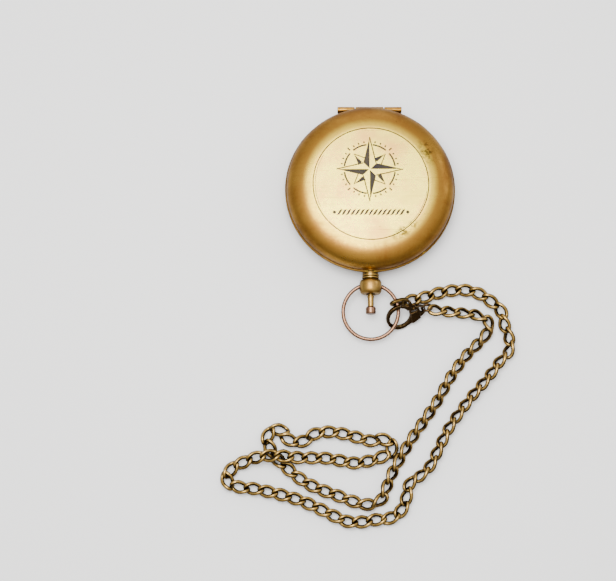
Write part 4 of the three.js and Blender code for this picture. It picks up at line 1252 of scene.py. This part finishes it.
def makeButton():
    at = (0, 0, pendantZ)
    stemLow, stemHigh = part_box("plunger_stem")
    start, end = stemHigh.y / mm, stemLow.y / mm
    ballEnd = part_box("pendant_ball")[0].y / mm
    r, collar = pendant["stemRadius"], pendant["springBore"] - 0.2
    front = ballEnd + 1.4
    stem = eased([
        (0, start), (r, start, 0.1), (r, front + 0.6), (collar, front + 0.6, 0.1), (collar, front, 0.1),
        (r, front), (r, ballEnd - 0.55, 0.05), (r + 0.16, ballEnd - 0.65, 0.08),
        (r + 0.16, ballEnd - 0.95, 0.08), (r, ballEnd - 1.05, 0.05), (r, end), (0, end)])
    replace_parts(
        turnedPiece("buttonStem", stem, "pendant", "plunger", 64, "y", at), "plunger_stem")
    low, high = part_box("plunger_button")
    start, end = high.y / mm, low.y / mm
    r = pendant["buttonRadius"]
    button = eased([
        (0, start - 1.2), (0, end), (r - 0.35, end, 0.05), (r - 0.12, end + 0.06, 0.1), (r, end + 0.3, 0.1),
        (r, start - 0.45, 0.15), (r - 0.3, start, 0.12), (1.0, start), (1.0, start - 1.2)][::-1], 5)
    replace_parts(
        turnedPiece("button", button, "bow", "plunger", 96, "y", at), "plunger_button")


bowSizes = {
    "wire": 1.15,
    "outer": 17.5,
    "droop": 6.0,  # degrees below level as it lies
    "steps": 160,
    "sides": 24,
}


def makeBow():
    ballLow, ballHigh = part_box("pendant_ball")
    pivotY = (ballLow.y + ballHigh.y) / 2
    radius = (bowSizes["outer"] - bowSizes["wire"]) / 2 * mm
    ball = pendant["ballRadius"] * mm
    reach = math.sqrt(radius ** 2 - ball ** 2)
    gap = math.asin(ball / radius)
    steps = bowSizes["steps"]
    ring = []
    for step in range(steps + 1):
        t = gap + (2 * math.pi - 2 * gap) * step / steps
        ring.append(Vector((radius * math.sin(t), -reach + radius * math.cos(t), 0)))
    inside = (pendant["springBore"] + 0.3) * mm
    # the ends turn in through the ball
    right = throughPoints([Vector((inside, 0, 0)), Vector((ball * 0.82, 0, 0)), ring[0], ring[6]], 0.0002)
    right = right[:next(i for i, p in enumerate(right) if (p - ring[0]).length < 0.0001)]
    left = [Vector((-p.x, p.y, p.z)) for p in reversed(right)]
    turn = Matrix.Translation((0, pivotY, pendantZ * mm))
    turn = turn @ Matrix.Rotation(math.radians(bowSizes["droop"]), 4, "X")
    points = [turn @ p for p in right + ring + left]
    mesh = sweptMesh("bow", points, bowSizes["wire"] / 2 * mm, bowSizes["sides"])
    obj = newObject("bow", mesh, "bow", "bow")
    smoothShade(obj, 50)
    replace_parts(obj, "bow")


makePendant()
makeButton()
makeBow()
print("pendant and bow made")


endLinkTurn = {"heading": 15, "dip": 20, "roll": 78}  # degrees


def makeEndLink():
    # The CAD link's own ring, swept with a finer wire.
    mesh = nodes["chain_end_link"].data
    centre = centreOf("chain_end_link")
    corners = [v.co - centre for v in mesh.vertices]
    heading, dip, roll = (math.radians(endLinkTurn[key]) for key in ("heading", "dip", "roll"))
    along = Vector((math.cos(heading) * math.cos(dip), math.sin(heading) * math.cos(dip), -math.sin(dip)))
    side = Vector((-math.sin(heading), math.cos(heading), 0))
    across = side * math.cos(roll) + along.cross(side) * math.sin(roll)
    long = max(abs(c.dot(along)) for c in corners) - chain["wire"] / 2
    wide = max(abs(c.dot(across)) for c in corners) - chain["wire"] / 2
    turns = (2 * math.pi * i / 64 for i in range(64))
    points = [centre + along * long * math.cos(t) + across * wide * math.sin(t) for t in turns]
    obj = newObject("endLink", sweptMesh("endLink", points, chain["wire"] / 2, 16, closed=True), "chain",
                    "bow")
    smoothShade(obj, 60)
    # the chain's wear mask, which also puts painted shade on the wire's sides
    wearAndSheen = []
    low, high = chain["wearAndSheen"]
    for vertex in obj.data.vertices:
        offset = vertex.co - centre
        flat = abs(vertex.normal.dot(along.cross(across)))
        fromMiddle = along * offset.dot(along) * chain["endwise"] + across * offset.dot(across)
        outward = fromMiddle.normalized().dot(vertex.normal)
        worn = chain["flatShare"] * flat + chain["outerShare"] * outward
        wearAndSheen.append(min(1.0, max(0.0, (worn - low) / (high - low))))
    obj.data.attributes.new("wearAndSheen", "FLOAT", "POINT").data.foreach_set("value", wearAndSheen)
    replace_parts(obj, "chain_end_link")
    return obj


endLink = makeEndLink()
claspBody = softened("claspBody", "clasp_body", "bronze", "bow", 0.08, 14)
claspGate = softened("claspGate", "clasp_gate", "bronze", "gate", 0.07, 10)
claspEye = softened("claspEye", "clasp_eye", "bronze", "bow", 0.06, 6)
claspRivet = filed("claspRivet", "clasp_rivet", "bronze", "bow", 0.06)
for node in ("hinge_pin", "lift_spring_screw", "plunger_spring", "pivot_post", "clasp_spring"):
    kept = nodes[node]
    if not kept.material_slots:
        kept.data.materials.append(None)
    for materialSlot in kept.material_slots:
        materialSlot.material = finishes["steel"]
print("clasp made")


studio = {
    "floorSize": 3.0,
    "floorColour": (0.95, 0.95, 0.95, 1),
    "floorInMirror": (0.42, 0.42, 0.42, 1),  # its colour to every ray but the camera's own
    "horizon": 0.50,  # the world's brightness at the horizon, and what it gains up to the zenith
    "zenithGain": 1.6,
    "behindGain": 0.35,  # more light from behind the hinge than from the front
    # name, place, aim, diameter, brightness of its face
    "lamps": (
        ("overhead", (-0.049, -0.007, 0.40), (0.0, 0.0, 0.0), 0.275, 10.5),
        ("behind", (0.0, 0.60, 0.22), (0.0, 0.02, 0.0), 0.40, 1.5),
        ("right", (0.60, 0.25, 0.30), (0.0, -0.05, 0.0), 0.30, 2.5),
    ),
}


def makeStudio():
    work = bmesh.new()
    bmesh.ops.create_grid(work, x_segments=1, y_segments=1, size=studio["floorSize"] / 2)
    mesh = bpy.data.meshes.new("floor")
    work.to_mesh(mesh)
    work.free()
    floor = bpy.data.objects.new("floor", mesh)
    bpy.context.collection.objects.link(floor)
    material, tree, shader = newMaterial("floorPaper", Roughness=0.9, Specular_IOR_Level=0.2)
    seen = addNode(tree, "ShaderNodeLightPath").outputs["Is Camera Ray"]
    colour = mixColour(tree, seen, studio["floorInMirror"], studio["floorColour"])
    tree.links.new(colour, shader.inputs["Base Color"])
    mesh.materials.append(material)
    for name, place, aim, size, brightness in studio["lamps"]:
        data = bpy.data.lights.new(name, "AREA")
        data.shape = "DISK"
        data.size = size
        data.energy = brightness * math.pi * math.pi * size ** 2 / 4
        lamp = bpy.data.objects.new(name, data)
        bpy.context.collection.objects.link(lamp)
        lamp.location = place
        lamp.rotation_euler = (Vector(place) - Vector(aim)).to_track_quat("Z", "Y").to_euler()
    world = bpy.data.worlds.new("studioWorld")
    bpy.context.scene.world = world
    world.use_nodes = True
    tree = world.node_tree
    place = addNode(tree, "ShaderNodeTexCoord").outputs["Generated"]
    split = addNode(tree, "ShaderNodeSeparateXYZ", {0: place}).outputs
    height = calc(tree, "MAXIMUM", split[2], 0.0)
    gain = calc(tree, "MULTIPLY", calc(tree, "POWER", height, 2.0), studio["zenithGain"])
    behind = calc(tree, "MULTIPLY", split[1], studio["behindGain"])
    strength = calc(tree, "ADD", calc(tree, "ADD", gain, behind), studio["horizon"])
    tree.links.new(strength, tree.nodes["Background"].inputs["Strength"])
    tree.nodes["Background"].inputs["Color"].default_value = (1.0, 0.985, 0.96, 1)


makeStudio()
print("studio made")
